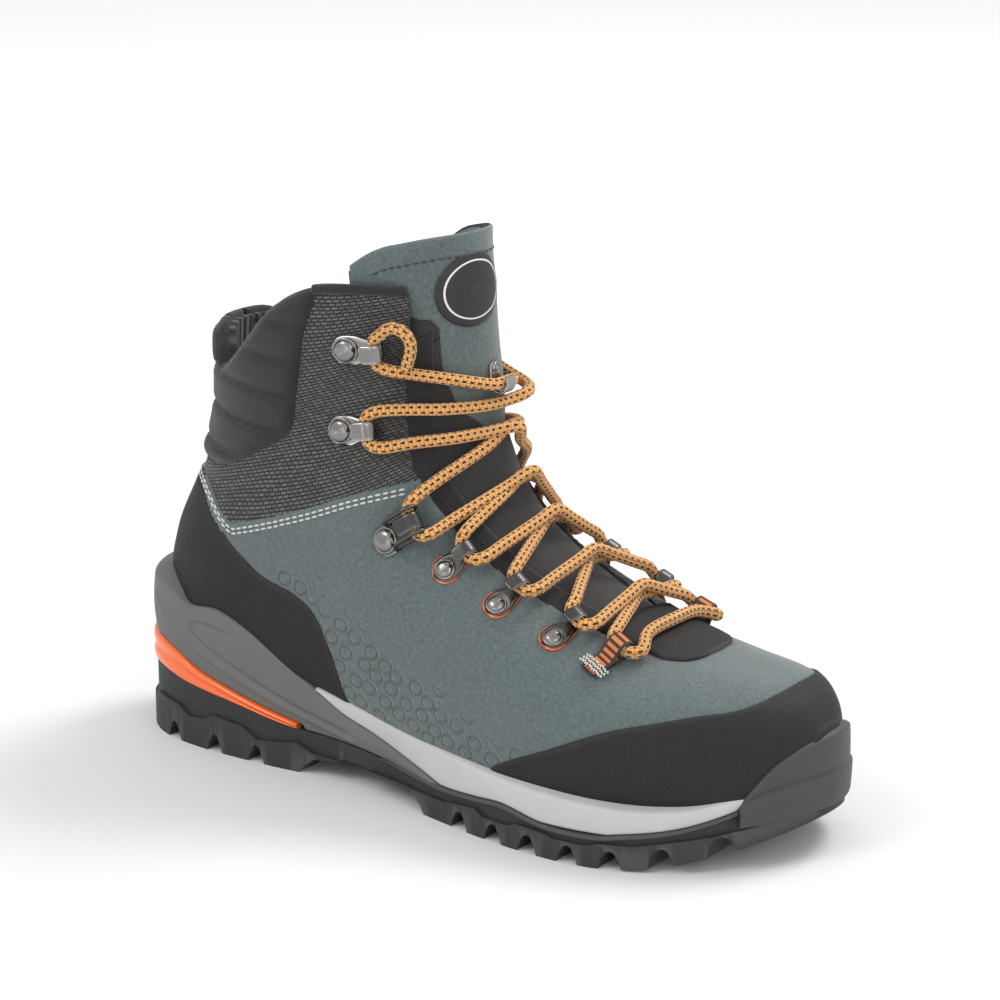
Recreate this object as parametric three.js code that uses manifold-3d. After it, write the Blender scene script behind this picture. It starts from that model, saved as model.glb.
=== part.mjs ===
// A hiking boot for the right foot, built as the separate pieces it is sewn, riveted and glued from.
// Millimetres. +X points to the toe, -Y to the outer (lateral) side, +Z up, the floor is z = 0.
import * as THREE from 'three';
import { mergeVertices } from 'three/addons/utils/BufferGeometryUtils.js';
import Module from 'manifold-3d';

const wasm = await Module();
wasm.setup();

// ---- driving dimensions -------------------------------------------------------------------------
const SOLE_LENGTH = 300;       // outsole, heel to toe
const SOLE_WIDTH = 105.5;      // outsole at the ball of the foot
const CENTRE = 2.5 * SOLE_WIDTH / 105.5;   // moves the sole's middle onto the origin
const BOOT_HEIGHT = 212;       // floor to the top of the tongue
const FEATHER = 20;            // lowest height of the edge where upper meets sole
const GAP = 0.3;               // clearance between pieces that touch
const SHELL = 2.0;             // leather, textile and rubber panels of the outer shell
const STIFFENER = 1.2;         // heel counter and toe puff
const LINING = 2.5;            // bootie with its foam
const BOARD = 2.0;             // lasting board
const FOOTBED = 4.0;           // removable footbed
const FOOTBED_CLEARANCE = 1.2; // footbed edge to the bootie wall
const HEEL_ROOM = 7.0;         // footbed to the bootie at the heel, for lifting it
const SHANK = { back: -84, front: 14, halfWidth: 8, thickness: 1.5 };
const COLLAR_PUFF = 2.0;       // how far the padded collar stands out
const TAB = 1.2;               // throat tab
const BADGE = { width: 29, height: 24, thickness: 1.0 };
const TONGUE = 7.2;            // tongue padding
const TONGUE_FACE = 1.0;       // suede face on the tongue
const TONGUE_SINK = 1.6;       // tongue padding below the outer surface
const WING = 2.6;              // tongue's side wings
const WING_GAP = 0.9;          // wings inside the bootie
const LUG_DEPTH = 7;           // tread grooves
const PLATE = 1.0;             // sheet metal of hooks and eyelets
const LACE = 4.6;              // lace diameter
const LACE_CLEARANCE = 0.8;    // lace to the metal round it
const FLEX = { x: -6, z: 174.5, back: 9, front: 9 };    // tongue's flex line and its free degrees

// ---- pattern sizes: points below are drawn for a boot of this size and scaled to the one above ---
const DRAWN = { length: 300, width: 105.5, height: 212 };
const scaleX = SOLE_LENGTH / DRAWN.length;
const scaleY = SOLE_WIDTH / DRAWN.width;
const scaleZ = (BOOT_HEIGHT - FEATHER) / (DRAWN.height - FEATHER);
const px = (x) => x * scaleX;
const py = (y) => y * scaleY;
const pz = (z) => (z <= FEATHER ? z : FEATHER + (z - FEATHER) * scaleZ);
const side = (points) => points.map(([x, z]) => [px(x), pz(z)]);

// The shoe last as a fan of sections. Each runs from a bottom or back point B to a top or front
// point T in the side view. wbl, wl and wbm, wm are half widths at the bottom and at the widest,
// outer side first; hm is the height of the widest place, yc the centre and p the roundness.
const SECTIONS = [
  // Bx, Bz, Tx, Tz, wbl, wl, wbm, wm, hm, yc, p
  [146, 26, 146, 48, 6, 11, 6, 11, 0.55, 8, 0.60],
  [141, 25, 140, 57, 20, 23, 19, 22, 0.45, 8, 0.62],
  [129, 24, 128, 63, 34, 37, 29, 32, 0.40, 8, 0.66],
  [107, 22, 107, 67, 46, 48, 33, 35, 0.36, 8, 0.72],
  [82, 20, 82, 72, 55, 57, 36, 37, 0.34, 9, 0.77],
  [54, 20, 55, 83, 57, 59, 37, 38, 0.30, 9, 0.81],
  [24, 22, 31, 97, 54, 57, 31, 34, 0.28, 9, 0.86],
  [-12, 28, 15, 115, 46, 52, 26, 31, 0.30, 8, 0.90],
  [-50, 36, 8, 133, 40, 47, 25, 31, 0.36, 6, 0.92],
  [-90, 42, 6, 148, 36, 42, 27, 32, 0.42, 4, 0.92],
  [-126, 46, 6, 160, 28, 40, 22, 33, 0.45, 3, 0.92],
  [-143, 56, 5, 170, 0, 39, 0, 33, 0.46, 3, 0.92],
  [-139, 78, 4, 181, 0, 38, 0, 32, 0.47, 3, 0.92],
  [-126, 104, 3, 192, 0, 38, 0, 32, 0.48, 3, 0.92],
  [-116, 132, 1, 203, 0, 39, 0, 33, 0.48, 3, 0.92],
  [-115, 165, 0, 213, 0, 41, 0, 35, 0.48, 3, 0.92],
  [-116, 184, -1, 226, 0, 41, 0, 35, 0.48, 3, 0.92],
];
const LAST = SECTIONS.length - 1;
const HEEL_TURN = 11;          // section where the bottom line turns up the back of the heel
const ROWS = 1.25 * LAST;      // facets along the fan
const COLUMNS = 20;            // facets round each section

// ---- curves -------------------------------------------------------------------------------------
function catmull(rows, t) {
  const last = rows.length - 1;
  const at = Math.min(Math.max(t, 0), last);
  const i = Math.min(Math.floor(at), last - 1);
  const f = at - i;
  const [p0, p1, p2, p3] = [rows[Math.max(i - 1, 0)], rows[i], rows[i + 1], rows[Math.min(i + 2, last)]];
  return p1.map((_, k) => 0.5 * (2 * p1[k] + (p2[k] - p0[k]) * f
    + (2 * p0[k] - 5 * p1[k] + 4 * p2[k] - p3[k]) * f * f
    + (3 * p1[k] - p0[k] - 3 * p2[k] + p3[k]) * f * f * f));
}

// A smooth open line through points, as a list of points.
function smooth(points, steps = 2) {
  const out = [];
  for (let i = 0; i <= (points.length - 1) * steps; i += 1) {
    out.push(catmull(points, i / steps));
  }
  return out;
}

// The value at t of a table of [t, value] rows, straight between them.
function along(table, t) {
  for (let i = 1; i < table.length; i += 1) {
    const [t0, v0] = table[i - 1];
    const [t1, v1] = table[i];
    if (t <= t1 || i === table.length - 1) {
      const f = Math.min(Math.max((t - t0) / (t1 - t0), 0), 1);
      return v0 + (v1 - v0) * f;
    }
  }
  return table[0][1];
}

// ---- the last's surface -------------------------------------------------------------------------
// Inward normal in the side view of the bottom line (column 0) or the top line (column 2).
function inward(t, column) {
  const a = catmull(SECTIONS, t - 0.05);
  const b = catmull(SECTIONS, t + 0.05);
  const dx = b[column] - a[column];
  const dz = b[column + 1] - a[column + 1];
  const length = Math.hypot(dx, dz);
  const turn = column === 0 ? 1 : -1;
  return [turn * dz / length, -turn * dx / length];
}

// Point at section t and turn phi: 0 outer bottom edge, 0.5 front or top line, 1 inner bottom edge.
// inset moves it into the boot, but leaves the bottom line under the foot where it is.
function surface(t, phi, inset = 0) {
  const [bx, bz, tx, tz, wbl, wl, wbm, wm, hm, yc, p] = catmull(SECTIONS, t);
  const nb = inward(t, 0);
  const nt = inward(t, 2);
  const toeCap = Math.max(0, 1 - t);
  const rise = inset * Math.min(Math.max((t - HEEL_TURN + 0.3) / 0.9, 0), 1);
  const bottom = [px(bx) + nb[0] * rise - toeCap * inset, pz(bz) + nb[1] * rise];
  const top = [px(tx) + nt[0] * inset - toeCap * inset * 0.4, pz(tz) + nt[1] * inset];
  const inner = phi > 0.5;
  const a = (inner ? 1 - phi : phi) * 2 * Math.PI;
  const wide = Math.max(py(inner ? wm : wl) - inset, 1);
  const foot = Math.max(Math.min(py(inner ? wbm : wbl) - inset, wide), 0);
  const low = a < Math.PI / 2;
  const s = Math.max(Math.sin(a), 0);
  const c = Math.cos(a);
  const y = low ? foot + (wide - foot) * s ** 0.9 : wide * s ** p;
  const h = low ? hm * (1 - c) : hm + (1 - hm) * Math.abs(c) ** 0.92;
  return new THREE.Vector3(bottom[0] + (top[0] - bottom[0]) * h, py(yc) + (inner ? y : -y),
    bottom[1] + (top[1] - bottom[1]) * h);
}

// Axes on the surface: out of it, across it towards the lacing, and along it.
function seat(t, phi, lift = 0, turn = 0) {
  const here = surface(t, phi);
  const step = phi < 0.5 ? 0.01 : -0.01;
  const across = surface(t, phi + step).sub(surface(t, phi - step)).normalize();
  const up = surface(t + 0.1, phi).sub(surface(t - 0.1, phi)).normalize();
  const out = new THREE.Vector3().crossVectors(across, up).normalize();
  const middle = surface(t, 0.5).add(surface(t, 0)).multiplyScalar(0.5);
  if (out.dot(here.clone().sub(middle)) < 0) {
    out.negate();
  }
  const x = across.clone().addScaledVector(out, -across.dot(out)).normalize();
  const y = new THREE.Vector3().crossVectors(out, x);
  const sign = phi < 0.5 ? 1 : -1;
  x.applyAxisAngle(out, sign * turn);
  y.applyAxisAngle(out, sign * turn);
  return new THREE.Matrix4().makeBasis(x, y, out).setPosition(here.addScaledVector(out, lift));
}

// ---- solids -------------------------------------------------------------------------------------
function geometryOf(positions, triangles) {
  const geometry = new THREE.BufferGeometry();
  geometry.setAttribute('position', new THREE.BufferAttribute(Float32Array.from(positions), 3));
  geometry.setIndex(triangles);
  return geometry;
}

function solidOf(geometry) {
  const bare = geometry.clone();
  bare.deleteAttribute('normal');
  bare.deleteAttribute('uv');
  const merged = mergeVertices(bare, 1e-3);
  const position = merged.attributes.position.array;
  const index = merged.index.array;
  const triangles = [];
  let volume = 0;
  const corner = (k) => new THREE.Vector3().fromArray(position, 3 * index[k]);
  for (let i = 0; i < index.length; i += 3) {
    if (index[i] !== index[i + 1] && index[i + 1] !== index[i + 2] && index[i] !== index[i + 2]) {
      triangles.push(index[i], index[i + 1], index[i + 2]);
      volume += corner(i).dot(corner(i + 1).cross(corner(i + 2)));
    }
  }
  const facing = volume < 0 ? triangles.reverse() : triangles;
  return new wasm.Manifold(new wasm.Mesh({
    numProp: 3, vertProperties: Float32Array.from(position), triVerts: Uint32Array.from(facing),
  }));
}

function meshGeometry(solid) {
  const { vertProperties, triVerts } = solid.getMesh();
  return geometryOf(vertProperties, Array.from(triVerts));
}

// Closed skin round a grid of points: rows by columns, with its two end rows capped.
function closedGrid(rows, columns, at) {
  const positions = [];
  const triangles = [];
  for (let i = 0; i <= rows; i += 1) {
    for (let j = 0; j <= columns; j += 1) {
      positions.push(...at(i, j).toArray());
    }
  }
  const id = (i, j) => i * (columns + 1) + (j % (columns + 1));
  for (let i = 0; i < rows; i += 1) {
    for (let j = 0; j <= columns; j += 1) {
      triangles.push(id(i, j), id(i + 1, j), id(i + 1, j + 1));
      triangles.push(id(i, j), id(i + 1, j + 1), id(i, j + 1));
    }
  }
  [0, rows].forEach((i) => {
    const centre = new THREE.Vector3();
    for (let j = 0; j <= columns; j += 1) {
      centre.add(at(i, j));
    }
    positions.push(...centre.divideScalar(columns + 1).toArray());
    const hub = positions.length / 3 - 1;
    for (let j = 0; j <= columns; j += 1) {
      triangles.push(...(i === 0 ? [hub, id(i, j), id(i, j + 1)] : [hub, id(i, j + 1), id(i, j)]));
    }
  });
  return solidOf(geometryOf(positions, triangles));
}

// Everything inside the last's surface, drawn in by inset.
function lastBody(inset) {
  return closedGrid(ROWS, COLUMNS, (i, j) => surface(i * LAST / ROWS, j / COLUMNS, inset));
}

// A patch of the surface between two phi edges that vary with t, as thick as its two insets say.
function patch(t0, t1, edge0, edge1, outer, inner, rows = 8, columns = 6) {
  const at = (i, j) => {
    const t = t0 + (t1 - t0) * i / rows;
    const under = j > columns;
    const k = under ? 2 * columns + 1 - j : j;
    return surface(t, edge0(t) + (edge1(t) - edge0(t)) * k / columns, under ? inner : outer);
  };
  const rim = 2 * columns + 1;
  return closedGrid(rows, rim, at);
}

// A side-view outline carried across the boot.
function across(points, y0 = -90, y1 = 90) {
  const shape = new THREE.Shape(points.map(([x, z]) => new THREE.Vector2(x, z)));
  const geometry = new THREE.ExtrudeGeometry(shape, { depth: y1 - y0, bevelEnabled: false });
  geometry.rotateX(Math.PI / 2);
  geometry.translate(0, y1, 0);
  return solidOf(geometry);
}

const shift = (points, dx, dz) => points.map(([x, z]) => [x + dx, z + dz]);
const movedSolid = (solid, matrix) => solid.transform(matrix.toArray());

// ---- lines of the upper in the side view --------------------------------------------------------
const ankleSeam = smooth(side([[-152, 110], [-124, 110], [-108, 108], [-93, 95], [-84, 95], [-54, 105],
  [-31, 114], [-6, 122], [12, 126], [40, 128]]));
const heelRandLine = smooth(side([[-150, 106], [-120, 107], [-108, 104], [-99, 94], [-86, 84], [-74, 76],
  [-58, 72], [-48, 67], [-41, 57], [-36, 46], [-30, 24]]));
const toeRandLine = smooth(side([[36, 12], [39, 23], [45, 29], [64, 38], [86, 48], [104, 53], [117, 56],
  [128, 58], [136, 63], [140, 76]]));
const collarFront = smooth(side([[-43, 200], [-46, 186], [-52, 172], [-57, 147], [-60, 134], [-72, 126],
  [-95, 115], [-124, 114], [-152, 114]]));
const topLine = smooth(side([[-152, 166], [-122, 168], [-112, 168], [-105, 160], [-101, 153], [-92, 158],
  [-80, 169], [-66, 182], [-47, 191], [-19, 192], [10, 190]]));
const tongueTop = smooth(side([[-70, 176], [-44, 190], [-36, 198], [-24, 206], [-12, 210], [0, 212], [12, 212]]));
const farUp = [[px(60), 300], [px(-160), 300]];

// ---- lines of the sole in the side view ---------------------------------------------------------
const treadTop = [[-154, 30], [-129, 27.6], [-114, 25], [-90, 22], [-62, 17.5], [-38, 16.2], [-20, 15],
  [-3, 13], [18, 11.5], [34, 12.5], [49, 13.5], [67, 10.5], [87, 10], [98, 11.5], [111, 13.5], [122, 16.5],
  [134, 22], [139, 29]];
const bumperTop = [[139, 29], [143, 33], [145, 38], [147, 42], [149, 45], [154, 47]];
const cupBottom = [[-154, 42], [-131, 39], [-119, 36], [-108, 31.5], [-94, 27.7], [-80, 24], [-60, 19.6],
  [-52, 17.6]];
const cupTop = [[-154, 66], [-140, 64], [-123, 61], [-113, 57], [-98, 58], [-83, 53], [-71, 47], [-61, 41],
  [-50, 35], [-36, 27.7], [-20, 23.5], [-4, 19.1], [8, 16], [20, 12.3]];
const midsoleTop = [[-48, 36], [-30, 33], [-4, 29], [24, 27], [43, 25.5], [71, 24], [91, 23], [107, 22.8],
  [122, 24.5], [139, 30]];
const heelGrooves = [-121, -98, -77];
const forefootGrooves = [28, 45, 61, 78, 94, 111, 128];
const heelFront = -54;
const forefootBack = 8;
const archHeight = 6.5;
const toeSpring = (x) => Math.max(0, x - 85) ** 2 / 270;
const heelRocker = (x) => Math.max(0, -132 - x) ** 2 / 60;

// The outline of the sole seen from above, going round from the heel by the outer side.
const SOLE_OUTLINE = [[-150, 0], [-143, -22], [-128, -34], [-105, -39], [-75, -39.5], [-45, -38], [-15, -41],
  [15, -48], [45, -54], [75, -55.5], [100, -50], [122, -37], [138, -20], [147, -3], [150, 10], [147, 24],
  [138, 36], [120, 45], [95, 50], [65, 50], [40, 46], [15, 39], [-15, 33], [-45, 32], [-75, 34],
  [-105, 37], [-128, 33], [-143, 22]];

function soleOutline(inset, z0 = -10, z1 = 90) {
  const n = SOLE_OUTLINE.length;
  const ring = [];
  const steps = 2;
  for (let i = 0; i < n * steps; i += 1) {
    const k = Math.floor(i / steps);
    const near = [-1, 0, 1, 2].map((d) => SOLE_OUTLINE[(k + d + n) % n]);
    ring.push(catmull(near, 1 + (i % steps) / steps));
  }
  const drawn = ring.map((point, i) => {
    const before = ring[(i + ring.length - 1) % ring.length];
    const after = ring[(i + 1) % ring.length];
    const dx = after[0] - before[0];
    const dy = after[1] - before[1];
    const length = Math.hypot(dx, dy);
    return new THREE.Vector2(px(point[0]) - inset * dy / length, py(point[1]) + inset * dx / length);
  });
  const geometry = new THREE.ExtrudeGeometry(new THREE.Shape(drawn), { depth: z1 - z0, bevelEnabled: false });
  geometry.translate(0, 0, z0);
  return solidOf(geometry);
}

// ---- shared bodies ------------------------------------------------------------------------------
// Everything under the last's bottom line, raised.
function under(rise) {
  const points = [];
  for (let t = 0; t <= HEEL_TURN - 0.4; t += LAST / ROWS) {
    const [bx, bz] = catmull(SECTIONS, t);
    const [nx, nz] = inward(t, 0);
    points.push([px(bx) + nx * rise, pz(bz) + nz * rise]);
  }
  const [x, z] = points.at(-1);
  return across([[px(160), points[0][1]], ...points, [px(-160), z + (x - px(-160)) * 0.25],
    [px(-160), -20], [px(160), -20]]);
}

const insetStiff = SHELL + GAP;
const insetLining = insetStiff + STIFFENER + GAP;
const insetFoot = insetLining + LINING;
const floorBoard = GAP;
const floorLining = floorBoard + BOARD + GAP;
const floorFootbed = floorLining + LINING + GAP;
const inside = (inset, floor) => lastBody(inset).subtract(under(floor));
const seatBody = lastBody(-GAP);
const shellLayer = inside(0, GAP).subtract(lastBody(SHELL));

// Half width of the throat in phi, by section.
const THROAT = [[3.3, 0.03], [3.6, 0.045], [4.3, 0.055], [5.0, 0.066], [5.4, 0.073], [6.6, 0.094], [7.85, 0.119],
  [8.7, 0.128], [10.6, 0.116], [13.8, 0.116], [16, 0.118]];
const throat = (t, extra = 0) => along(THROAT, t) + extra;
const throatVolume = (extra, outer, inner, t0 = 3.4) => patch(t0, LAST, (t) => 0.5 - throat(t, extra),
  (t) => 0.5 + throat(t, extra), outer, inner, 25, 8);
const shellThroat = throatVolume(0, -8, 14);

// ---- sole ---------------------------------------------------------------------------------------
function treadBottom() {
  const points = [];
  const ground = (x) => Math.max(toeSpring(x), heelRocker(x));
  const groove = (x) => {
    points.push([x - 3.5, ground(x)], [x - 1.5, ground(x) + LUG_DEPTH], [x + 1.5, ground(x) + LUG_DEPTH],
      [x + 3.5, ground(x)]);
  };
  [-154, -148, -141, -134].forEach((x) => points.push([x, ground(x)]));
  heelGrooves.forEach(groove);
  points.push([heelFront, 0], [heelFront + 4, archHeight], [forefootBack - 4, archHeight], [forefootBack, 0]);
  forefootGrooves.forEach(groove);
  [138, 146, 154].forEach((x) => points.push([x, ground(x)]));
  return points;
}

function outsole() {
  const profile = side([...treadBottom(), ...bumperTop.toReversed(), ...treadTop.toReversed()]);
  const channel = across(side([[-118, -2], [-118, 5], [132, 5], [132, -2]]), -3, 3);
  return soleOutline(0).intersect(across(profile)).subtract(seatBody).subtract(channel);
}

function layerBetween(bottom, top, inset) {
  const profile = [...shift(side(bottom), 0, GAP), ...side(top).toReversed()];
  return soleOutline(inset).intersect(across(profile)).subtract(seatBody);
}

// The bottom line of the last between two places, moved down.
function lastLine(x0, x1, drop) {
  const points = [];
  for (let t = 5; t <= 9.5; t += 0.25) {
    const at = surface(t, 0);
    if (at.x >= x0 && at.x <= x1) {
      points.push([at.x, at.z - drop]);
    }
  }
  return points;
}

function shankBody(extra) {
  const top = lastLine(px(SHANK.back) - extra, px(SHANK.front) + extra, GAP - extra);
  const bottom = lastLine(px(SHANK.back) - extra, px(SHANK.front) + extra, GAP + SHANK.thickness + extra);
  return across([...top, ...bottom.toReversed()], -SHANK.halfWidth - extra, SHANK.halfWidth + extra);
}

const heelInsert = () => layerBetween(treadTop.slice(0, 5), cupBottom.slice(0, 7), 1.2);
const heelCup = () => layerBetween(
  [...cupBottom, ...treadTop.filter(([x]) => x > -50 && x < 19)], cupTop, 2.4).subtract(shankBody(GAP));
const midsole = () => layerBetween([...cupTop.filter(([x]) => x > -49), ...treadTop.filter(([x]) => x > 20)],
  midsoleTop, 0.8).subtract(shankBody(GAP));

// ---- inside -------------------------------------------------------------------------------------
const insoleBoard = () => inside(insetStiff, floorBoard).intersect(under(floorBoard + BOARD));
const stiffLayer = () => inside(insetStiff, floorLining).subtract(lastBody(insetStiff + STIFFENER));
const heelCounter = () => stiffLayer().intersect(across(side([[-70, 20], [-70, 62], [-84, 78], [-110, 92],
  [-152, 96], [-152, 20]])));
const toePuff = () => stiffLayer().intersect(across(side([[104, 10], [108, 52], [112, 80], [152, 80],
  [152, 10]])));

function liningBootie() {
  const layer = inside(insetLining, floorLining).subtract(inside(insetFoot, floorLining + LINING));
  const lowered = shift(topLine, 0, -2.5);
  return layer.subtract(across([...lowered, ...farUp])).subtract(throatVolume(0.02, -8, 14, 3.7));
}

function footbed() {
  const inset = insetFoot + FOOTBED_CLEARANCE;
  const slab = inside(inset, floorFootbed).intersect(under(floorFootbed + FOOTBED));
  const heelEnd = surface(11, 0, inset).x + HEEL_ROOM;
  return slab.subtract(across([[heelEnd, 0], [heelEnd, 120], [px(-170), 120], [px(-170), 0]]));
}

// ---- outer shell --------------------------------------------------------------------------------
const below = (line) => [...line, [px(160), line.at(-1)[1]], [px(160), -20], [px(-160), -20]];
const above = (line) => [...line, [px(160), 300], [px(-160), 300]];
const toeSide = [...toeRandLine, [px(170), 76], [px(170), -20], [px(36), -20]];
const heelSide = [...heelRandLine, [px(-36), -20], [px(-160), -20], [px(-160), 108]];
const collarSide = [...collarFront, [px(-160), 114], [px(-160), 300], [px(-43), 300]];

function suedeUpper() {
  const low = across(below(shift(ankleSeam, 0, -GAP)));
  const heel = across(shift(heelSide, GAP, GAP));
  const toe = across(shift(toeSide, -GAP, GAP));
  return shellLayer.intersect(low).subtract(heel).subtract(toe).subtract(shellThroat);
}

const toeRand = () => shellLayer.intersect(across(toeSide));
const heelRand = () => shellLayer.intersect(across(heelSide));

function anklePanel(outerSide) {
  const half = outerSide ? [-90, -GAP / 2] : [GAP / 2, 90];
  const high = across(above(ankleSeam), ...half);
  return shellLayer.intersect(high).subtract(across(shift(collarSide, GAP, -GAP)))
    .subtract(across(above(shift(topLine, 0, -3)))).subtract(shellThroat);
}

function collarPad() {
  const layer = lastBody(-COLLAR_PUFF).subtract(lastBody(SHELL + STIFFENER));
  const rim = across(above(topLine));
  return layer.intersect(across(collarSide)).subtract(rim);
}

// Rolled edge on the ankle panel's top and front.
function binding(outerSide) {
  const half = outerSide ? [-90, -2] : [2, 90];
  const layer = lastBody(-0.6).subtract(lastBody(SHELL + 0.6));
  const strip = across([...shift(topLine, 0, -3 + GAP), ...shift(topLine, 0, 0).toReversed()], ...half);
  return layer.intersect(strip).subtract(across(shift(collarSide, GAP, 0))).subtract(shellThroat);
}

const facing = (outerSide) => {
  const sign = outerSide ? -1 : 1;
  const edge = (t) => 0.5 + sign * throat(t, -0.004);
  const lip = (t) => 0.5 + sign * throat(t, -0.034);
  return patch(4.7, 12.2, outerSide ? edge : lip, outerSide ? lip : edge, 0.3, 1.1, 14, 2);
};

const TAB_HALF = [[3.42, 0.036], [3.6, 0.047], [4.6, 0.044]];
const throatTab = () => patch(3.42, 4.4, (t) => 0.5 - along(TAB_HALF, t), (t) => 0.5 + along(TAB_HALF, t),
  -GAP - TAB, -GAP, 5, 4);

// ---- tongue -------------------------------------------------------------------------------------
// Padding in the throat with wings under the shell; the free top bends about the flex line.
const flexAt = [px(FLEX.x), pz(FLEX.z)];
function flexWedge(top) {
  const [x, z] = flexAt;
  const reach = 120;
  const rise = (degrees) => reach * Math.tan(degrees * Math.PI / 180);
  if (top) {
    return across([[x, z + GAP], [x + reach, z + GAP + rise(FLEX.front)], [x + reach, 400],
      [x - reach, 400], [x - reach, z + GAP + rise(FLEX.back)]]);
  }
  return across([[x, z - GAP], [x + reach, z - GAP - 4], [x + reach, -50], [x - reach, -50],
    [x - reach, z - GAP - 4]]);
}

function tongueBody() {
  const core = throatVolume(-0.012, TONGUE_SINK, TONGUE_SINK + TONGUE, 4.0);
  const wings = throatVolume(0.045, insetFoot + WING_GAP, insetFoot + WING_GAP + WING, 6.2);
  return core.add(wings).subtract(across([...tongueTop, ...farUp]));
}

const tonguePad = (top) => tongueBody().intersect(flexWedge(top));
const FACE = [[8.2, 0.012], [9.2, 0.06], [10.5, 0.074], [12.2, 0.078], [12.8, 0.095], [16, 0.1]];
function tongueFace(top) {
  const sheet = patch(8.2, LAST, (t) => 0.5 - along(FACE, t), (t) => 0.5 + along(FACE, t),
    TONGUE_SINK - GAP - TONGUE_FACE, TONGUE_SINK - GAP, 14, 8);
  return sheet.subtract(across([...shift(tongueTop, 0, -0.5), ...farUp])).intersect(flexWedge(top));
}

// ---- metal fittings -----------------------------------------------------------------------------
function turned(profile, segments = 12) {
  const geometry = new THREE.LatheGeometry(profile.map(([r, z]) => new THREE.Vector2(r, z)), segments);
  geometry.rotateX(Math.PI / 2);
  return solidOf(geometry);
}

// Domed head on a stem that goes down through the fitting and its panel.
function rivetSolid({ head, dome, stem }, depth) {
  return turned([[0, -depth], [stem, -depth], [stem, 0], [head, 0], [head * 0.94, dome * 0.35],
    [head * 0.62, dome * 0.8], [0, dome]]);
}

const rivetHole = ({ stem }) => turned([[0, -9], [stem + GAP, -9], [stem + GAP, 9], [0, 9]], 10);

function extruded(points, depth, z0 = 0, hole = null) {
  const shape = new THREE.Shape(points.map(([x, y]) => new THREE.Vector2(x, y)));
  if (hole) {
    shape.holes.push(new THREE.Path(hole.map(([x, y]) => new THREE.Vector2(x, y))));
  }
  const geometry = new THREE.ExtrudeGeometry(shape, { depth, bevelEnabled: false });
  geometry.translate(0, 0, z0);
  return geometry;
}

// A bent strip: its side profile in the fitting's x and z, carried across its width.
function bent(profile, width, hole = null) {
  const geometry = extruded(profile, width, -width / 2, hole);
  geometry.rotateX(Math.PI / 2);
  return solidOf(geometry);
}

function arc(x, z, radius, from, to, steps = 5) {
  return Array.from({ length: steps + 1 }, (_, k) => {
    const a = (from + (to - from) * k / steps) * Math.PI / 180;
    return [x + radius * Math.cos(a), z + radius * Math.sin(a)];
  });
}

// The channel that holds the lace. The lace runs along the fitting's y through its centre.
const CHANNEL = LACE / 2 + LACE_CLEARANCE;
const LACE_HEIGHT = PLATE + CHANNEL;

function hookSolid({ reach, tail, lip, width, tip }, rivet) {
  const outer = CHANNEL + PLATE;
  const profile = [[-tail, 0], ...arc(reach, outer, outer, -90, 90), [reach - lip, 2 * outer],
    [reach - lip, 2 * outer - PLATE], ...arc(reach, outer, CHANNEL, 90, -90), [-tail, PLATE]];
  const plan = [[-tail, -width / 2], [reach * 0.3, -width / 2], [reach + outer + 1, -tip / 2],
    [reach + outer + 1, tip / 2], [reach * 0.3, width / 2], [-tail, width / 2]];
  const outline = solidOf(extruded(plan, 3 * outer, -1));
  return bent(profile, width).intersect(outline).subtract(rivetHole(rivet));
}

// A folded strap: two layers stitched flat behind the lace and one loop round it.
function loopSolid({ reach, tail, width, strap }) {
  const outer = CHANNEL + strap;
  const profile = [[-tail, 0], ...arc(reach, outer, outer, -90, 140, 7), [reach - outer * 1.7, 2 * strap],
    [-tail, 2 * strap]];
  const hole = [...arc(reach, outer, CHANNEL, -90, 160, 8), [reach - outer * 1.15, strap + 0.5]];
  return bent(profile, width, hole.toReversed());
}

const HOOK_RIVET = { head: 4.3, dome: 2.4, stem: 1.5 };
const EYELET_RIVET = { head: 3.3, dome: 2.0, stem: 1.4 };
const TONGUE_RIVET = { head: 1.6, dome: 0.8, stem: 0.8 };
const HOOK = { reach: 12, tail: 5.5, lip: 4, width: 11, tip: 7 };
const LOCK = { reach: 14, tail: 5.5, lip: 9, width: 12, tip: 8 };
const EYELET = { reach: 10, tail: 4.5, lip: 4, width: 9.5, tip: 6 };
const TONGUE_HOOK = { reach: 5.5, tail: 2.5, lip: 3, width: 6, tip: 6 };
const LOOP = { reach: 6, tail: 9, width: 7.5, tip: 7.5, strap: 0.9 };
const SEAT = 0.5;              // fitting's plate above the curved panel at its rivet
const TONGUE_SEAT = 0.15;      // tongue hook's plate above the outer surface
const tongueSeat = (lift = TONGUE_SEAT) => seat(10.1, 0.499, lift, -Math.PI / 2);
const BADGE_AT = { t: 12.9, phi: 0.49 };

// Where each fitting's rivet sits, from the toe up: section, phi on the outer side, turn in its plane.
const ROWS_OF_LACING = [
  { name: 'lace_loop', t: 4.2, phi: 0.405, turn: -0.35, size: LOOP },
  { name: 'eyelet_lower', t: 4.96, phi: 0.392, turn: -0.45, size: EYELET, rivet: EYELET_RIVET },
  { name: 'eyelet_middle', t: 5.9, phi: 0.38, turn: -0.45, size: EYELET, rivet: EYELET_RIVET },
  { name: 'eyelet_upper', t: 6.9, phi: 0.358, turn: -0.45, size: EYELET, rivet: EYELET_RIVET },
  { name: 'locking_hook', t: 8.1, phi: 0.318, turn: -0.4, size: LOCK, rivet: HOOK_RIVET },
  { name: 'speed_hook_lower', t: 11.05, phi: 0.322, turn: -0.5, size: HOOK, rivet: HOOK_RIVET },
  { name: 'speed_hook_upper', t: 13.2, phi: 0.314, turn: -0.5, size: HOOK, rivet: HOOK_RIVET },
];
const INNER_DROP = 0.02;       // the inner row sits this much further from the front line
const onSide = (phi, outerSide) => (outerSide ? phi : 1 - phi + INNER_DROP);
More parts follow.
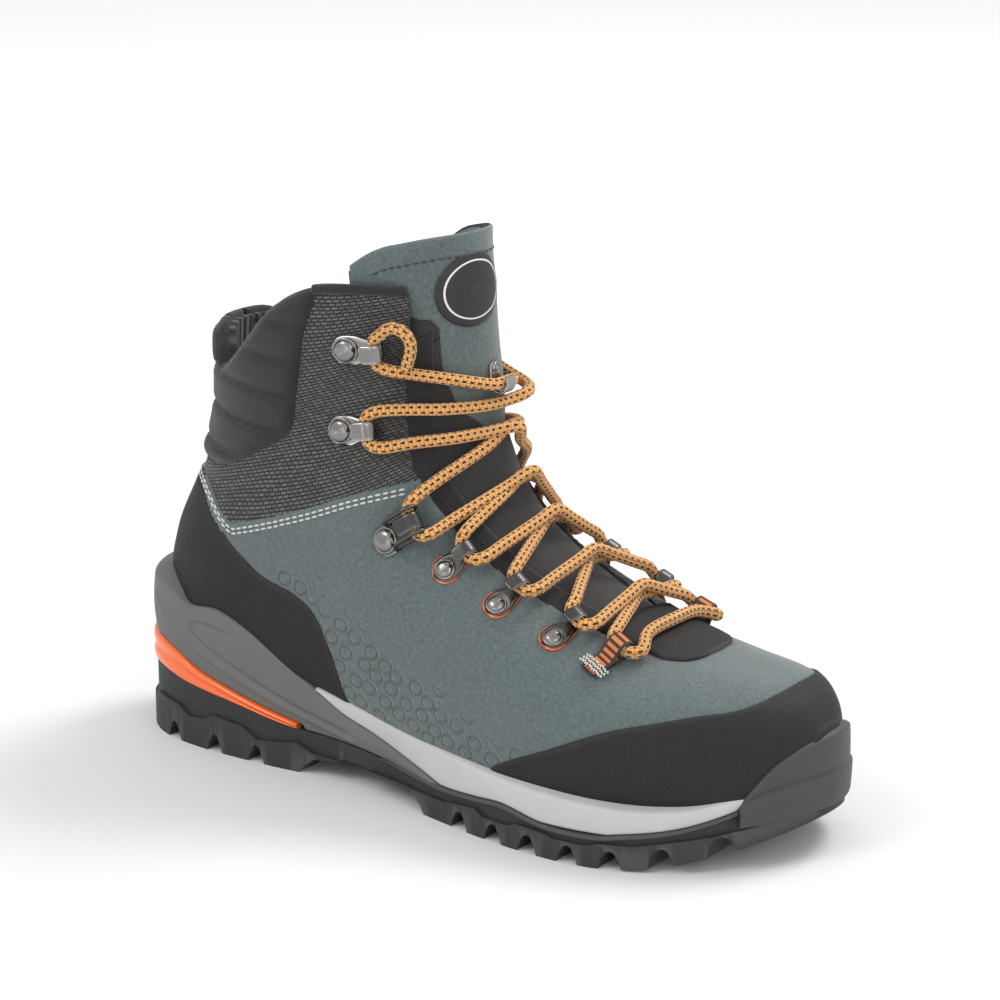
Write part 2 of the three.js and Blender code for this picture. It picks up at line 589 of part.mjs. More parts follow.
const rowSeat = ({ t, phi, turn }, outerSide, lift = SEAT) => seat(t, onSide(phi, outerSide), lift, turn);

// A thin oval plate that follows the tongue's face.
function badgeSolid() {
  const oval = Array.from({ length: 20 }, (_, k) => [BADGE.width / 2 * Math.cos(k * Math.PI / 10),
    BADGE.height / 2 * Math.sin(k * Math.PI / 10)]);
  const outline = movedSolid(solidOf(extruded(oval, 24, -12)), seat(BADGE_AT.t, BADGE_AT.phi));
  const face = TONGUE_SINK - GAP - TONGUE_FACE;
  const sheet = patch(BADGE_AT.t - 2, BADGE_AT.t + 2, () => 0.38, () => 0.6, face - GAP - BADGE.thickness,
    face - GAP, 8, 10);
  return sheet.intersect(outline);
}

// ---- lace ---------------------------------------------------------------------------------------
// Places the lace takes beside and inside a fitting, in the fitting's axes, from its toe side up.
function passThrough(row, outerSide) {
  const { reach, tip } = row.size;
  const height = row.rivet ? LACE_HEIGHT : LOOP.strap + CHANNEL;
  const matrix = rowSeat(row, outerSide);
  const beside = tip / 2 + LACE / 2 + GAP;
  const places = [[reach + 4.5, -beside - 0.6], [reach + 0.6, -beside + 1.2], [reach, 0],
    [reach + 0.6, beside - 1.2], [reach + 4.5, beside + 0.6]];
  const points = places.map(([x, y]) => new THREE.Vector3(x, y, height).applyMatrix4(matrix));
  return points[0].z < points[4].z ? points : points.toReversed();
}

// The place on the last nearest to a point: its section and phi.
function nearest(point) {
  let best = [0, 0, Infinity];
  let span = [LAST, 1];
  let from = [0, 0];
  for (let pass = 0; pass < 3; pass += 1) {
    for (let i = 0; i <= 16; i += 1) {
      for (let j = 0; j <= 16; j += 1) {
        const t = Math.min(Math.max(from[0] + span[0] * i / 16, 0), LAST);
        const phi = Math.min(Math.max(from[1] + span[1] * j / 16, 0), 1);
        const gap = surface(t, phi).distanceTo(point);
        best = gap < best[2] ? [t, phi, gap] : best;
      }
    }
    span = span.map((width) => width / 5);
    from = [best[0] - span[0] / 2, best[1] - span[1] / 2];
  }
  return best;
}

// A point moved out to stand this far off the last, if it is nearer.
function lifted(point, height) {
  const [t, phi] = nearest(point);
  const matrix = seat(t, phi);
  const out = new THREE.Vector3().setFromMatrixColumn(matrix, 2);
  const foot = new THREE.Vector3().setFromMatrixPosition(matrix);
  const now = point.clone().sub(foot).dot(out);
  return point.clone().addScaledVector(out, Math.max(height - now, 0));
}

// Crossings on the front line between one row and the next, and how far the under and the over
// strand stand off there. At the last crossing one strand runs through the tongue's hook.
const CROSSINGS = [4.62, 5.45, 6.35, 7.2, 8.3];
const UNDER = LACE / 2 + 1.2;
const OVER = UNDER + LACE + 0.9;
const throughTongueHook = () => [5, 1.5, -1.5, -5].map((y) => (
  new THREE.Vector3(TONGUE_HOOK.reach, y, LACE_HEIGHT).applyMatrix4(tongueSeat())));

function crossing(k, strand) {
  if (k < CROSSINGS.length) {
    const lift = (k + (strand ? 1 : 0)) % 2 ? UNDER : OVER;
    return [surface(CROSSINGS[k], 0.5, -lift)];
  }
  return strand ? [surface(9.7, 0.545, -UNDER), ...throughTongueHook()]
    : [surface(9, 0.5, -UNDER - 0.6), surface(9.3, 0.54, -OVER), surface(9.75, 0.575, -OVER)];
}

const REACHES = [0.25, 0.5, 0.75];
const LOWEST_BAR = [[4.0, 0.462], [4.0, 0.5], [4.0, 0.545]];

// The tucked end beyond the last fitting, in that fitting's axes.
const TAIL = [[19, 9.5, 5], [24, 9, 5], [27, 5.5, 4.2], [27, 1, 3.4], [25, -4, 2.9]];

// One half of the lace: from beside the lowest bar up to its tucked end.
function strandPoints(strand) {
  const points = [];
  ROWS_OF_LACING.forEach((row, k) => {
    const outerSide = (k % 2 === 0) === strand;
    const pass = passThrough(row, outerSide);
    if (k > 0) {
      const from = points.at(-1);
      const reached = REACHES.map((f) => lifted(from.clone().lerp(pass[0], f), UNDER));
      points.push(...reached);
    }
    points.push(...pass);
    if (k < ROWS_OF_LACING.length - 1) {
      const cross = crossing(k, strand);
      const reached = REACHES.map((f) => lifted(pass.at(-1).clone().lerp(cross[0], f), UNDER));
      points.push(...reached, ...cross);
    }
  });
  const matrix = rowSeat(ROWS_OF_LACING.at(-1), strand);
  const upward = points.at(-1).clone().applyMatrix4(matrix.clone().invert()).y > 0 ? 1 : -1;
  TAIL.forEach(([x, y, z]) => {
    points.push(lifted(new THREE.Vector3(x, upward * y, z).applyMatrix4(matrix), z - 0.5));
  });
  return points;
}

class Route extends THREE.CatmullRomCurve3 {
  getPointAt(u, target) {
    return this.getPoint(u, target);
  }

  getTangentAt(u, target) {
    return this.getTangent(u, target);
  }
}

function laceSolid() {
  const points = [...strandPoints(true).toReversed(), ...LOWEST_BAR.map(([t, phi]) => (
    surface(t, phi, -(LACE / 2 + TAB + 0.9)))), ...strandPoints(false)];
  const route = new Route(points, false, 'centripetal');
  const ring = Array.from({ length: 8 }, (_, k) => new THREE.Vector2(
    LACE / 2 * Math.cos(k * Math.PI / 4), LACE / 2 * Math.sin(k * Math.PI / 4)));
  const geometry = new THREE.ExtrudeGeometry(new THREE.Shape(ring), {
    extrudePath: route, steps: points.length - 1, bevelEnabled: false,
  });
  return solidOf(geometry);
}

// ---- materials ----------------------------------------------------------------------------------
const finish = (color, roughness, metalness = 0) => (
  new THREE.MeshStandardMaterial({ color, roughness, metalness }));
const MATERIALS = {
  rubber: finish(0x2b2b2d, 0.8),
  orange: finish(0xf0641e, 0.35),
  darkFoam: finish(0x55585b, 0.6),
  paleFoam: finish(0xb9bbb8, 0.7),
  rand: finish(0x1d1d1f, 0.65),
  suede: finish(0x5d7576, 0.95),
  textile: finish(0x333436, 0.9),
  softshell: finish(0x252628, 0.95),
  metal: finish(0x77797b, 0.3, 1),
  lace: finish(0xe39a3c, 0.85),
  board: finish(0x8a7a62, 0.9),
  steel: finish(0x9a9da0, 0.4, 1),
  lining: finish(0x2f3133, 0.95),
  footbed: finish(0x4a4d50, 0.95),
  badge: finish(0x1a1a1b, 0.4),
};

// ---- assembly -----------------------------------------------------------------------------------
const group = new THREE.Group();
const pieces = new Map();

function place(name, solid, material) {
  pieces.set(name, { solid, material });
}

place('outsole', outsole(), MATERIALS.rubber);
place('heel_insert', heelInsert(), MATERIALS.orange);
place('heel_cup', heelCup(), MATERIALS.darkFoam);
place('midsole', midsole(), MATERIALS.paleFoam);
place('insole_board', insoleBoard(), MATERIALS.board);
place('shank', shankBody(0), MATERIALS.steel);
place('heel_counter', heelCounter(), MATERIALS.board);
place('toe_puff', toePuff(), MATERIALS.board);
place('lining_bootie', liningBootie(), MATERIALS.lining);
place('footbed', footbed(), MATERIALS.footbed);
place('suede_upper', suedeUpper(), MATERIALS.suede);
place('toe_rand', toeRand(), MATERIALS.rand);
place('heel_rand', heelRand(), MATERIALS.rand);
place('ankle_panel_outer', anklePanel(true), MATERIALS.textile);
place('ankle_panel_inner', anklePanel(false), MATERIALS.textile);
place('collar_pad', collarPad(), MATERIALS.softshell);
place('collar_binding_outer', binding(true), MATERIALS.softshell);
place('collar_binding_inner', binding(false), MATERIALS.softshell);
place('facing_outer', facing(true), MATERIALS.softshell);
place('facing_inner', facing(false), MATERIALS.softshell);
place('tongue_pad', tonguePad(false), MATERIALS.softshell);
place('tongue_pad_top', tonguePad(true), MATERIALS.softshell);
place('tongue_face', tongueFace(false), MATERIALS.suede);
place('tongue_face_top', tongueFace(true), MATERIALS.suede);


// Panels that the rivets go through.
function cut(name, solid) {
  const piece = pieces.get(name);
  piece.solid = piece.solid.subtract(solid);
}

[true, false].forEach((outerSide) => {
  const label = outerSide ? 'outer' : 'inner';
  ROWS_OF_LACING.forEach((row) => {
    const matrix = rowSeat(row, outerSide);
    if (!row.rivet) {
      place(`${row.name}_${label}`, movedSolid(loopSolid(row.size), matrix), MATERIALS.rand);
      return;
    }
    place(`${row.name}_${label}`, movedSolid(hookSolid(row.size, row.rivet), matrix), MATERIALS.metal);
    const raised = rowSeat(row, outerSide, SEAT + PLATE + GAP);
    const rivet = rivetSolid(row.rivet, PLATE + GAP + SEAT + SHELL);
    place(`${row.name}_rivet_${label}`, movedSolid(rivet, raised), MATERIALS.metal);
    const panel = row.name.startsWith('speed') ? `ankle_panel_${label}` : 'suede_upper';
    cut(panel, movedSolid(rivetHole(row.rivet), matrix));
  });
});

place('throat_tab', throatTab(), MATERIALS.softshell);
place('tongue_badge', badgeSolid(), MATERIALS.badge);
place('tongue_hook', movedSolid(hookSolid(TONGUE_HOOK, TONGUE_RIVET), tongueSeat()), MATERIALS.metal);
place('tongue_hook_rivet', movedSolid(rivetSolid(TONGUE_RIVET, PLATE + GAP + TONGUE_SEAT + TONGUE_SINK),
  tongueSeat(TONGUE_SEAT + PLATE + GAP)), MATERIALS.metal);
cut('tongue_face', movedSolid(rivetHole(TONGUE_RIVET), tongueSeat()));
cut('tongue_pad', movedSolid(rivetHole(TONGUE_RIVET), tongueSeat()));
place('lace', laceSolid(), MATERIALS.lace);

pieces.forEach(({ solid, material }, name) => {
  const mesh = new THREE.Mesh(meshGeometry(solid), material);
  mesh.name = name;
  group.add(mesh);
});

// The boot stands centred: the outline is wider on the outer side of the foot's line.
group.position.y = CENTRE;

export default group;
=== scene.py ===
# Looks of the right hiking boot. Blender works in metres; the tables below are in millimetres.
import math

import bmesh
import bpy
import numpy as np
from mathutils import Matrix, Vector, kdtree


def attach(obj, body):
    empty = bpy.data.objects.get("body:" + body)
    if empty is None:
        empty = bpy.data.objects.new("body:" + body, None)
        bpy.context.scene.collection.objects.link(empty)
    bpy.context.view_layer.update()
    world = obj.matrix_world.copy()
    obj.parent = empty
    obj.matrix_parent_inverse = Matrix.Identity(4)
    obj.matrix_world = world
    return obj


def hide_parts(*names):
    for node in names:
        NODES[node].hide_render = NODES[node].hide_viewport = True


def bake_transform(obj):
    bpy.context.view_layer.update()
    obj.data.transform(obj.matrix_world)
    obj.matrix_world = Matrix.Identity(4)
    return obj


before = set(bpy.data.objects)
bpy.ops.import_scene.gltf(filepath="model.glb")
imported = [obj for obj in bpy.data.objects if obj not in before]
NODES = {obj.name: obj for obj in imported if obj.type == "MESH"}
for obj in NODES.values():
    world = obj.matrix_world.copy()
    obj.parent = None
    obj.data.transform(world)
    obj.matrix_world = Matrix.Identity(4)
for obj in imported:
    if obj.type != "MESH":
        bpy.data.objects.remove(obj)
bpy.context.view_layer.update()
scene = bpy.context.scene
CENTRE = 2.5  # the middle line's shift in y
SIDES = (("outer", True, -1), ("inner", False, 1))  # label, is it outer, and its sign in phi

# ---- the last, as in the CAD ---------------------------------------------------------------------
# One row is one section, from the toe up: bottom x z, top x z, outer foot and greatest half width,
# inner foot and greatest half width, height of the greatest width, middle line y, roundness.
SECTIONS = np.array([
    [146, 26, 146, 48, 6, 11, 6, 11, 0.55, 8, 0.60], [141, 25, 140, 57, 20, 23, 19, 22, 0.45, 8, 0.62],
    [129, 24, 128, 63, 34, 37, 29, 32, 0.40, 8, 0.66], [107, 22, 107, 67, 46, 48, 33, 35, 0.36, 8, 0.72],
    [82, 20, 82, 72, 55, 57, 36, 37, 0.34, 9, 0.77], [54, 20, 55, 83, 57, 59, 37, 38, 0.30, 9, 0.81],
    [24, 22, 31, 97, 54, 57, 31, 34, 0.28, 9, 0.86], [-12, 28, 15, 115, 46, 52, 26, 31, 0.30, 8, 0.90],
    [-50, 36, 8, 133, 40, 47, 25, 31, 0.36, 6, 0.92], [-90, 42, 6, 148, 36, 42, 27, 32, 0.42, 4, 0.92],
    [-126, 46, 6, 160, 28, 40, 22, 33, 0.45, 3, 0.92], [-143, 56, 5, 170, 0, 39, 0, 33, 0.46, 3, 0.92],
    [-139, 78, 4, 181, 0, 38, 0, 32, 0.47, 3, 0.92], [-126, 104, 3, 192, 0, 38, 0, 32, 0.48, 3, 0.92],
    [-116, 132, 1, 203, 0, 39, 0, 33, 0.48, 3, 0.92], [-115, 165, 0, 213, 0, 41, 0, 35, 0.48, 3, 0.92],
    [-116, 184, -1, 226, 0, 41, 0, 35, 0.48, 3, 0.92]])
LAST = len(SECTIONS) - 1
NOSE, NOSE_SPAN, NOSE_REACH = np.array([146, 8, 37.0]), 0.6, np.array([3.0, 0, 0])
FAR = 1e9


def unit(v):
    return v / np.linalg.norm(v, axis=-1, keepdims=True)


def arc_lengths(points):
    """Length along a line at each of its points."""
    return np.r_[0, np.cumsum(np.linalg.norm(np.diff(points, axis=0), axis=1))]


def catmull(rows, t):
    rows = np.asarray(rows, float)
    last = len(rows) - 1
    t = np.clip(np.asarray(t, float), 0, last)
    i = np.minimum(np.floor(t).astype(int), last - 1)
    f = (t - i)[..., None]
    p0, p1, p2, p3 = (rows[np.clip(i + d, 0, last)] for d in (-1, 0, 1, 2))
    return 0.5 * (2 * p1 + (p2 - p0) * f + (2 * p0 - 5 * p1 + 4 * p2 - p3) * f * f
                  + (3 * p1 - p0 - 3 * p2 + p3) * f ** 3)


def smooth(points, steps=6):
    n = (len(points) - 1) * steps
    return catmull(points, np.arange(n + 1) / steps)


def inward(t, column):
    """Side-view normals into the boot at the bottom points (column 0) or the top points (2)."""
    a, b = catmull(SECTIONS, t - 0.05), catmull(SECTIONS, t + 0.05)
    d = unit(b[..., column:column + 2] - a[..., column:column + 2])
    turn = 1 if column == 0 else -1
    return np.stack([turn * d[..., 1], -turn * d[..., 0]], -1)


def surface(t, phi, inset=0.0):
    """Points in millimetres on the last: phi 0 outer bottom, 0.5 front, 1 inner bottom."""
    t, phi, inset = np.broadcast_arrays(*(np.asarray(v, float) for v in (t, phi, inset)))
    nose = np.clip(-t / NOSE_SPAN, 0, 1)[..., None]
    t = np.maximum(t, 0)
    s = catmull(SECTIONS, t)
    toe = np.maximum(0, 1 - t)
    rise = inset * np.clip((t - 10.7) / 0.9, 0, 1)
    low = s[..., 0:2] + inward(t, 0) * rise[..., None]
    top = s[..., 2:4] + inward(t, 2) * inset[..., None]
    low[..., 0] -= toe * inset
    top[..., 0] -= toe * inset * 0.4
    inner = phi > 0.5
    a = np.where(inner, 1 - phi, phi) * 2 * math.pi
    wide = np.maximum(np.where(inner, s[..., 7], s[..., 5]) - inset, 1)
    foot = np.maximum(np.minimum(np.where(inner, s[..., 6], s[..., 4]) - inset, wide), 0)
    sn, cs, widest = np.maximum(np.sin(a), 0), np.cos(a), s[..., 8]
    below = a < math.pi / 2
    y = np.where(below, foot + (wide - foot) * sn ** 0.9, wide * sn ** s[..., 10])
    h = np.where(below, widest * (1 - cs), widest + (1 - widest) * np.abs(cs) ** 0.92)
    p = low + (top - low) * h[..., None]
    out = np.stack([p[..., 0], s[..., 9] + np.where(inner, y, -y), p[..., 1]], -1)
    u = nose * math.pi / 2
    return np.where(nose > 0, NOSE + (out - NOSE) * np.cos(u) + NOSE_REACH * np.sin(u), out)


def metres(points):
    points = np.asarray(points, float).reshape(-1, 3)
    return (points + np.array([0, CENTRE, 0])) * 0.001


def seat(t, phi, lift=0.0, turn=0.0):
    """Axes on the last as a 4 by 4 matrix: x towards the lacing, y along, z out of it."""
    here = surface(t, phi)
    step = 0.01 if phi < 0.5 else -0.01
    across = unit(surface(t, phi + step) - surface(t, phi - step))
    up = unit(surface(t + 0.1, phi) - surface(t - 0.1, phi))
    out = unit(np.cross(across, up))
    if np.dot(out, here - (surface(t, 0.5) + surface(t, 0)) / 2) < 0:
        out = -out
    x = unit(across - out * np.dot(across, out))
    y = np.cross(out, x)
    spin = (1 if phi < 0.5 else -1) * turn
    c, s = math.cos(spin), math.sin(spin)
    m = np.eye(4)
    m[:3, 0], m[:3, 1], m[:3, 2], m[:3, 3] = x * c + y * s, y * c - x * s, out, here + out * lift
    return m


def moved(m, points):
    return np.asarray(points, float) @ m[:3, :3].T + m[:3, 3]


# ---- sizes and lines shared with the CAD ---------------------------------------------------------
LACE, PLATE, LACE_CLEARANCE, GAP, TAB = 4.6, 1.0, 0.8, 0.3, 1.2
CHANNEL = LACE / 2 + LACE_CLEARANCE
LACE_HEIGHT = PLATE + CHANNEL
SEAT = 0.5
HOOK = dict(reach=12, tail=5.5, lip=4, width=11, tip=7, head=4.3, dome=2.4)
LOCK = dict(reach=14, tail=5.5, lip=9, width=12, tip=8, head=4.3, dome=2.4)
EYELET = dict(reach=10, tail=4.5, lip=4, width=9.5, tip=6, head=3.3, dome=2.0)
LOOP = dict(reach=6, tail=9, width=7.5, tip=7.5, strap=0.9)
TONGUE_HOOK = dict(reach=5.5, tail=2.5, lip=3, width=6, tip=6, head=1.6, dome=0.8)
# Name, section, phi on the outer side, turn and size of each row of fittings, from the toe up.
LACING = [("lace_loop", 4.2, 0.405, -0.35, LOOP), ("eyelet_lower", 4.96, 0.392, -0.45, EYELET),
          ("eyelet_middle", 5.9, 0.38, -0.45, EYELET), ("eyelet_upper", 6.9, 0.358, -0.45, EYELET),
          ("locking_hook", 8.1, 0.318, -0.4, LOCK), ("speed_hook_lower", 11.05, 0.322, -0.5, HOOK),
          ("speed_hook_upper", 13.2, 0.314, -0.5, HOOK)]
# Half widths in phi about the middle line, by section.
THROAT = [[3.3, .03], [3.6, .045], [4.3, .055], [5.0, .066], [5.4, .073], [6.6, .094], [7.85, .119],
          [8.7, .128], [10.6, .116], [13.8, .116], [16, .118]]
FACE = [[8.2, .012], [9.2, .06], [10.5, .074], [12.2, .078], [12.8, .095], [16, .1]]
TAB_HALF = [[3.16, 0.0], [3.18, 0.018], [3.24, 0.031], [3.35, 0.042], [3.6, 0.052], [4.6, 0.050]]
# Seams and edges in the side view, x and z.
ANKLE_SEAM = smooth([[-152, 110], [-124, 110], [-108, 108], [-93, 95], [-84, 95], [-54, 105], [-31, 114],
                     [-6, 122], [12, 126], [40, 128]])
HEEL_RAND = smooth([[-150, 106], [-120, 107], [-108, 104], [-99, 94], [-86, 84], [-74, 76], [-58, 72],
                    [-48, 67], [-41, 57], [-36, 46], [-30, 24]])
TOE_RAND = smooth([[36, 12], [39, 23], [45, 29], [64, 38], [86, 48], [104, 53], [117, 56], [128, 58],
                   [136, 63], [140, 76]])
COLLAR_FRONT = smooth([[-43, 200], [-46, 186], [-52, 172], [-57, 147], [-60, 134], [-72, 126], [-95, 115],
                       [-124, 114], [-152, 114]])
TOP_LINE = smooth([[-152, 166], [-122, 168], [-112, 168], [-105, 160], [-101, 153], [-92, 158], [-80, 169],
                   [-66, 182], [-47, 191], [-19, 192], [10, 190]])
TONGUE_TOP = smooth([[-70, 176], [-44, 190], [-36, 198], [-24, 206], [-12, 210], [0, 212], [12, 212]])


def along(table, at):
    """The table's second column where its first is at."""
    table = np.asarray(table, float)
    return np.interp(at, table[:, 0], table[:, 1])


# ---- camera and light ----------------------------------------------------------------------------
target = Vector((0, CENTRE * 0.001, 0.09))
azimuth, elevation, distance = math.radians(35), math.radians(16.5), 1.1
back = Vector((math.sin(azimuth) * math.cos(elevation), -math.cos(azimuth) * math.cos(elevation),
               math.sin(elevation)))
camera = bpy.data.objects.new("camera", bpy.data.cameras.new("camera"))
scene.collection.objects.link(camera)
camera.location = target + back * distance
camera.rotation_euler = (-back).to_track_quat("-Z", "Y").to_euler()
camera.data.sensor_width, camera.data.lens = 36, 104.9
camera.data.shift_x, camera.data.shift_y = 0.0243, 0.0498
camera.data.clip_start, camera.data.clip_end = 0.05, 50
scene.camera = camera
scene.view_settings.view_transform = "Standard"
world = bpy.data.worlds.new("world")
scene.world = world
world.use_nodes = True
world.node_tree.nodes["Background"].inputs["Color"].default_value = (1, 1, 1, 1)
world.node_tree.nodes["Background"].inputs["Strength"].default_value = 0.9


def lamp(name, place, size, power):
    light = bpy.data.objects.new(name, bpy.data.lights.new(name, "AREA"))
    light.data.shape, light.data.size, light.data.energy = "DISK", size, power
    light.location = place
    light.rotation_euler = (Vector((0, 0, 0.09)) - Vector(place)).to_track_quat("-Z", "Y").to_euler()
    scene.collection.objects.link(light)


lamp("key", (-0.5, -1.3, 1.5), 0.9, 9)
lamp("fill", (1.7, -0.9, 0.9), 1.1, 5)
lamp("rim", (0.6, 1.1, 1.8), 0.9, 24)
lamp("low", (0.3, -1.6, 0.25), 0.8, 1.5)

# ---- lace route, as in the CAD -------------------------------------------------------------------
INNER_DROP = 0.02
CROSSINGS = [4.62, 5.45, 6.35, 7.2, 8.3]
UNDER = LACE / 2 + 1.2
OVER = UNDER + LACE + 0.9
REACHES = [0.25, 0.5, 0.75]
LOWEST_BAR = [[4.0, 0.462], [4.0, 0.5], [4.0, 0.545]]
TAIL = [[19, 9.5, 5], [24, 9, 5], [27, 5.5, 4.2], [27, 1, 3.4], [25, -4, 2.9], [23.4, -7, 2.2]]


def row_seat(row, outer, lift=SEAT):
    return seat(row[1], row[2] if outer else 1 - row[2] + INNER_DROP, lift, row[3])


def nearest(point):
    """Section and phi of the last's point closest to this one, found in three finer and finer grids."""
    best, span, start = [0, 0, FAR], [LAST, 1], [0, 0]
    for _ in range(3):
        k = np.arange(17) / 16
        t = np.clip(start[0] + span[0] * k, 0, LAST)[:, None]
        phi = np.clip(start[1] + span[1] * k, 0, 1)[None, :]
        gap = np.linalg.norm(surface(t, phi) - point, axis=-1)
        i, j = np.unravel_index(gap.argmin(), gap.shape)
        if gap[i, j] < best[2]:
            best = [float(t[i, 0]), float(phi[0, j]), float(gap[i, j])]
        span = [w / 5 for w in span]
        start = [best[0] - span[0] / 2, best[1] - span[1] / 2]
    return best[:2]


def lifted(point, height):
    """The point, moved out if it is less than this height above the last."""
    m = seat(*nearest(point))
    now = np.dot(point - m[:3, 3], m[:3, 2])
    return point + m[:3, 2] * max(height - now, 0)


def pass_through(row, outer):
    """The lace's points in one fitting, from the toe side up."""
    size = row[4]
    height = LOOP["strap"] + CHANNEL if size is LOOP else LACE_HEIGHT
    beside = size["tip"] / 2 + LACE / 2 + GAP
    reach = size["reach"]
    places = [[reach + 4.5, -beside - 0.6, height], [reach + 0.6, -beside + 1.2, height], [reach, 0, height],
              [reach + 0.6, beside - 1.2, height], [reach + 4.5, beside + 0.6, height]]
    points = moved(row_seat(row, outer), places)
    return points if points[0, 2] < points[4, 2] else points[::-1]


def tongue_seat(lift=0.15):
    return seat(10.1, 0.499, lift, -math.pi / 2)


def crossing(k, strand):
    """The points of one strand where it crosses the middle after row k."""
    if k < len(CROSSINGS):
        return [surface(CROSSINGS[k], 0.5, -(UNDER if (k + strand) % 2 else OVER))]
    if strand:
        hook = [[TONGUE_HOOK["reach"], y, LACE_HEIGHT] for y in (5, 1.5, -1.5, -5)]
        return [surface(9.7, 0.545, -UNDER), *moved(tongue_seat(), hook)]
    return [surface(9, 0.5, -UNDER - 0.6), surface(9.3, 0.54, -OVER), surface(9.75, 0.575, -OVER)]


def strand_points(strand):
    """One half of the lace, from its lowest loop to its tucked end."""
    points = []
    for k, row in enumerate(LACING):
        through = pass_through(row, (k % 2 == 0) == strand)
        if k > 0:
            start = points[-1]
            points += [lifted(start + (through[0] - start) * f, UNDER) for f in REACHES]
        points += list(through)
        if k < len(LACING) - 1:
            start, cross = through[-1], crossing(k, strand)
            points += [lifted(start + (cross[0] - start) * f, UNDER) for f in REACHES] + list(cross)
    m = row_seat(LACING[-1], strand)
    local = np.linalg.inv(m) @ np.append(points[-1], 1)
    upward = 1 if local[1] > 0 else -1
    return points + [lifted(moved(m, [[x, upward * y, z]])[0], z - 0.5) for x, y, z in TAIL]


def centripetal(points):
    """A centripetal Catmull-Rom line through the points."""
    p = np.array(points)
    p = np.vstack([2 * p[0] - p[1], p, 2 * p[-1] - p[-2]])
    out = []
    for i in range(1, len(p) - 2):
        a, b, c, d = p[i - 1:i + 3]
        d0, d1, d2 = (max(np.linalg.norm(v) ** 0.5, 1e-4) for v in (b - a, c - b, d - c))
        m1 = ((b - a) / d0 - (c - a) / (d0 + d1) + (c - b) / d1) * d1
        m2 = ((c - b) / d1 - (d - b) / (d1 + d2) + (d - c) / d2) * d1
        n = max(2, int(np.linalg.norm(c - b) / 0.8))
        f = np.arange(n)[:, None] / n
        out.append((2 * f ** 3 - 3 * f ** 2 + 1) * b + (f ** 3 - 2 * f ** 2 + f) * m1
                   + (3 * f ** 2 - 2 * f ** 3) * c + (f ** 3 - f ** 2) * m2)
    return np.vstack([*out, p[-2:-1]])


# ---- mesh helpers: a part is its points in millimetres, its faces, and a uv pair for each point --
def set_uv(mesh, uv):
    loops = np.zeros(len(mesh.loops), np.int32)
    mesh.loops.foreach_get("vertex_index", loops)
    mesh.uv_layers.new(name="uv").data.foreach_set("uv", np.asarray(uv, np.float32)[loops].ravel())


def add_object(name, part, material, body="root"):
    points, faces, uv = part
    mesh = bpy.data.meshes.new(name)
    mesh.from_pydata(metres(points).tolist(), [], [list(map(int, f)) for f in faces])
    if uv is not None:
        set_uv(mesh, uv)
    mesh.polygons.foreach_set("use_smooth", [True] * len(mesh.polygons))
    mesh.validate()
    o = bpy.data.objects.new(name, mesh)
    scene.collection.objects.link(o)
    o.data.materials.append(material)
    if body:
        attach(o, body)
    return o


def grid_faces(rows, columns, wrap=False):
    i, j = np.meshgrid(np.arange(rows - 1), np.arange(columns - (0 if wrap else 1)), indexing="ij")
    a = i * columns + j
    b = i * columns + (j + 1) % columns
    return np.stack([a, b, b + columns, a + columns], -1).reshape(-1, 4)


def circle(sides):
    return np.arange(sides) * 2 * math.pi / sides


def tube(path, radius, sides=16):
    """A capped tube along a path; its uv is the turn round it and the length in millimetres."""
    path = np.asarray(path, float)
    n = len(path)
    tangent = unit(np.gradient(path, axis=0))
    normal = np.zeros_like(path)
    seed = np.array([0, 0, 1.0]) if abs(tangent[0, 2]) < 0.8 else np.array([1.0, 0, 0])
    normal[0] = unit(seed - tangent[0] * np.dot(seed, tangent[0]))
    for i in range(1, n):
        normal[i] = unit(normal[i - 1] - tangent[i] * np.dot(normal[i - 1], tangent[i]))
    side = np.cross(tangent, normal)
    a = circle(sides)[None, :, None]
    radius = np.broadcast_to(np.asarray(radius, float).reshape(-1, 1, 1), (n, 1, 1))
    points = path[:, None] + radius * (normal[:, None] * np.cos(a) + side[:, None] * np.sin(a))
    faces = grid_faces(n, sides, wrap=True).tolist()
    faces += [list(range(sides))[::-1], list(range((n - 1) * sides, n * sides))]
    uv = np.stack([np.tile(np.arange(sides) / sides, n), np.repeat(arc_lengths(path), sides)], -1)
    return points.reshape(-1, 3), faces, uv


def joined(parts):
    """Several parts as one."""
    faces, start = [], 0
    for p, f, _ in parts:
        faces += [[v + start for v in face] for face in f]
        start += len(p)
    return np.vstack([part[0] for part in parts]), faces, np.vstack([part[2] for part in parts])


def used_only(points, faces, uv):
    """The same part without the points that no face uses."""
    used = np.unique(np.concatenate([np.ravel(f) for f in faces]))
    index = np.full(len(points), -1)
    index[used] = np.arange(len(used))
    return points[used], [[int(index[v]) for v in f] for f in faces], uv[used]


def resampled(points, step):
    """Points at even steps along a line."""
    points = np.asarray(points, float)
    s = arc_lengths(points)
    at = np.linspace(0, s[-1], max(2, int(round(s[-1] / step)) + 1))
    return np.stack([np.interp(at, s, points[:, k]) for k in range(points.shape[1])], -1)


# ---- sheets on the last: (t, phi) for each point, and triangles ----------------------------------
def sheet_grid(t0, t1, phi0, phi1, rows, columns):
    t = np.linspace(t0, t1, rows)
    f = np.linspace(0, 1, columns)
    a, b = (phi(t) if callable(phi) else np.full(rows, phi) for phi in (phi0, phi1))
    tp = np.stack([np.repeat(t, columns), (a[:, None] + (b - a)[:, None] * f).ravel()], -1)
    q = grid_faces(rows, columns)
    return tp, np.vstack([q[:, [0, 1, 2]], q[:, [0, 2, 3]]])


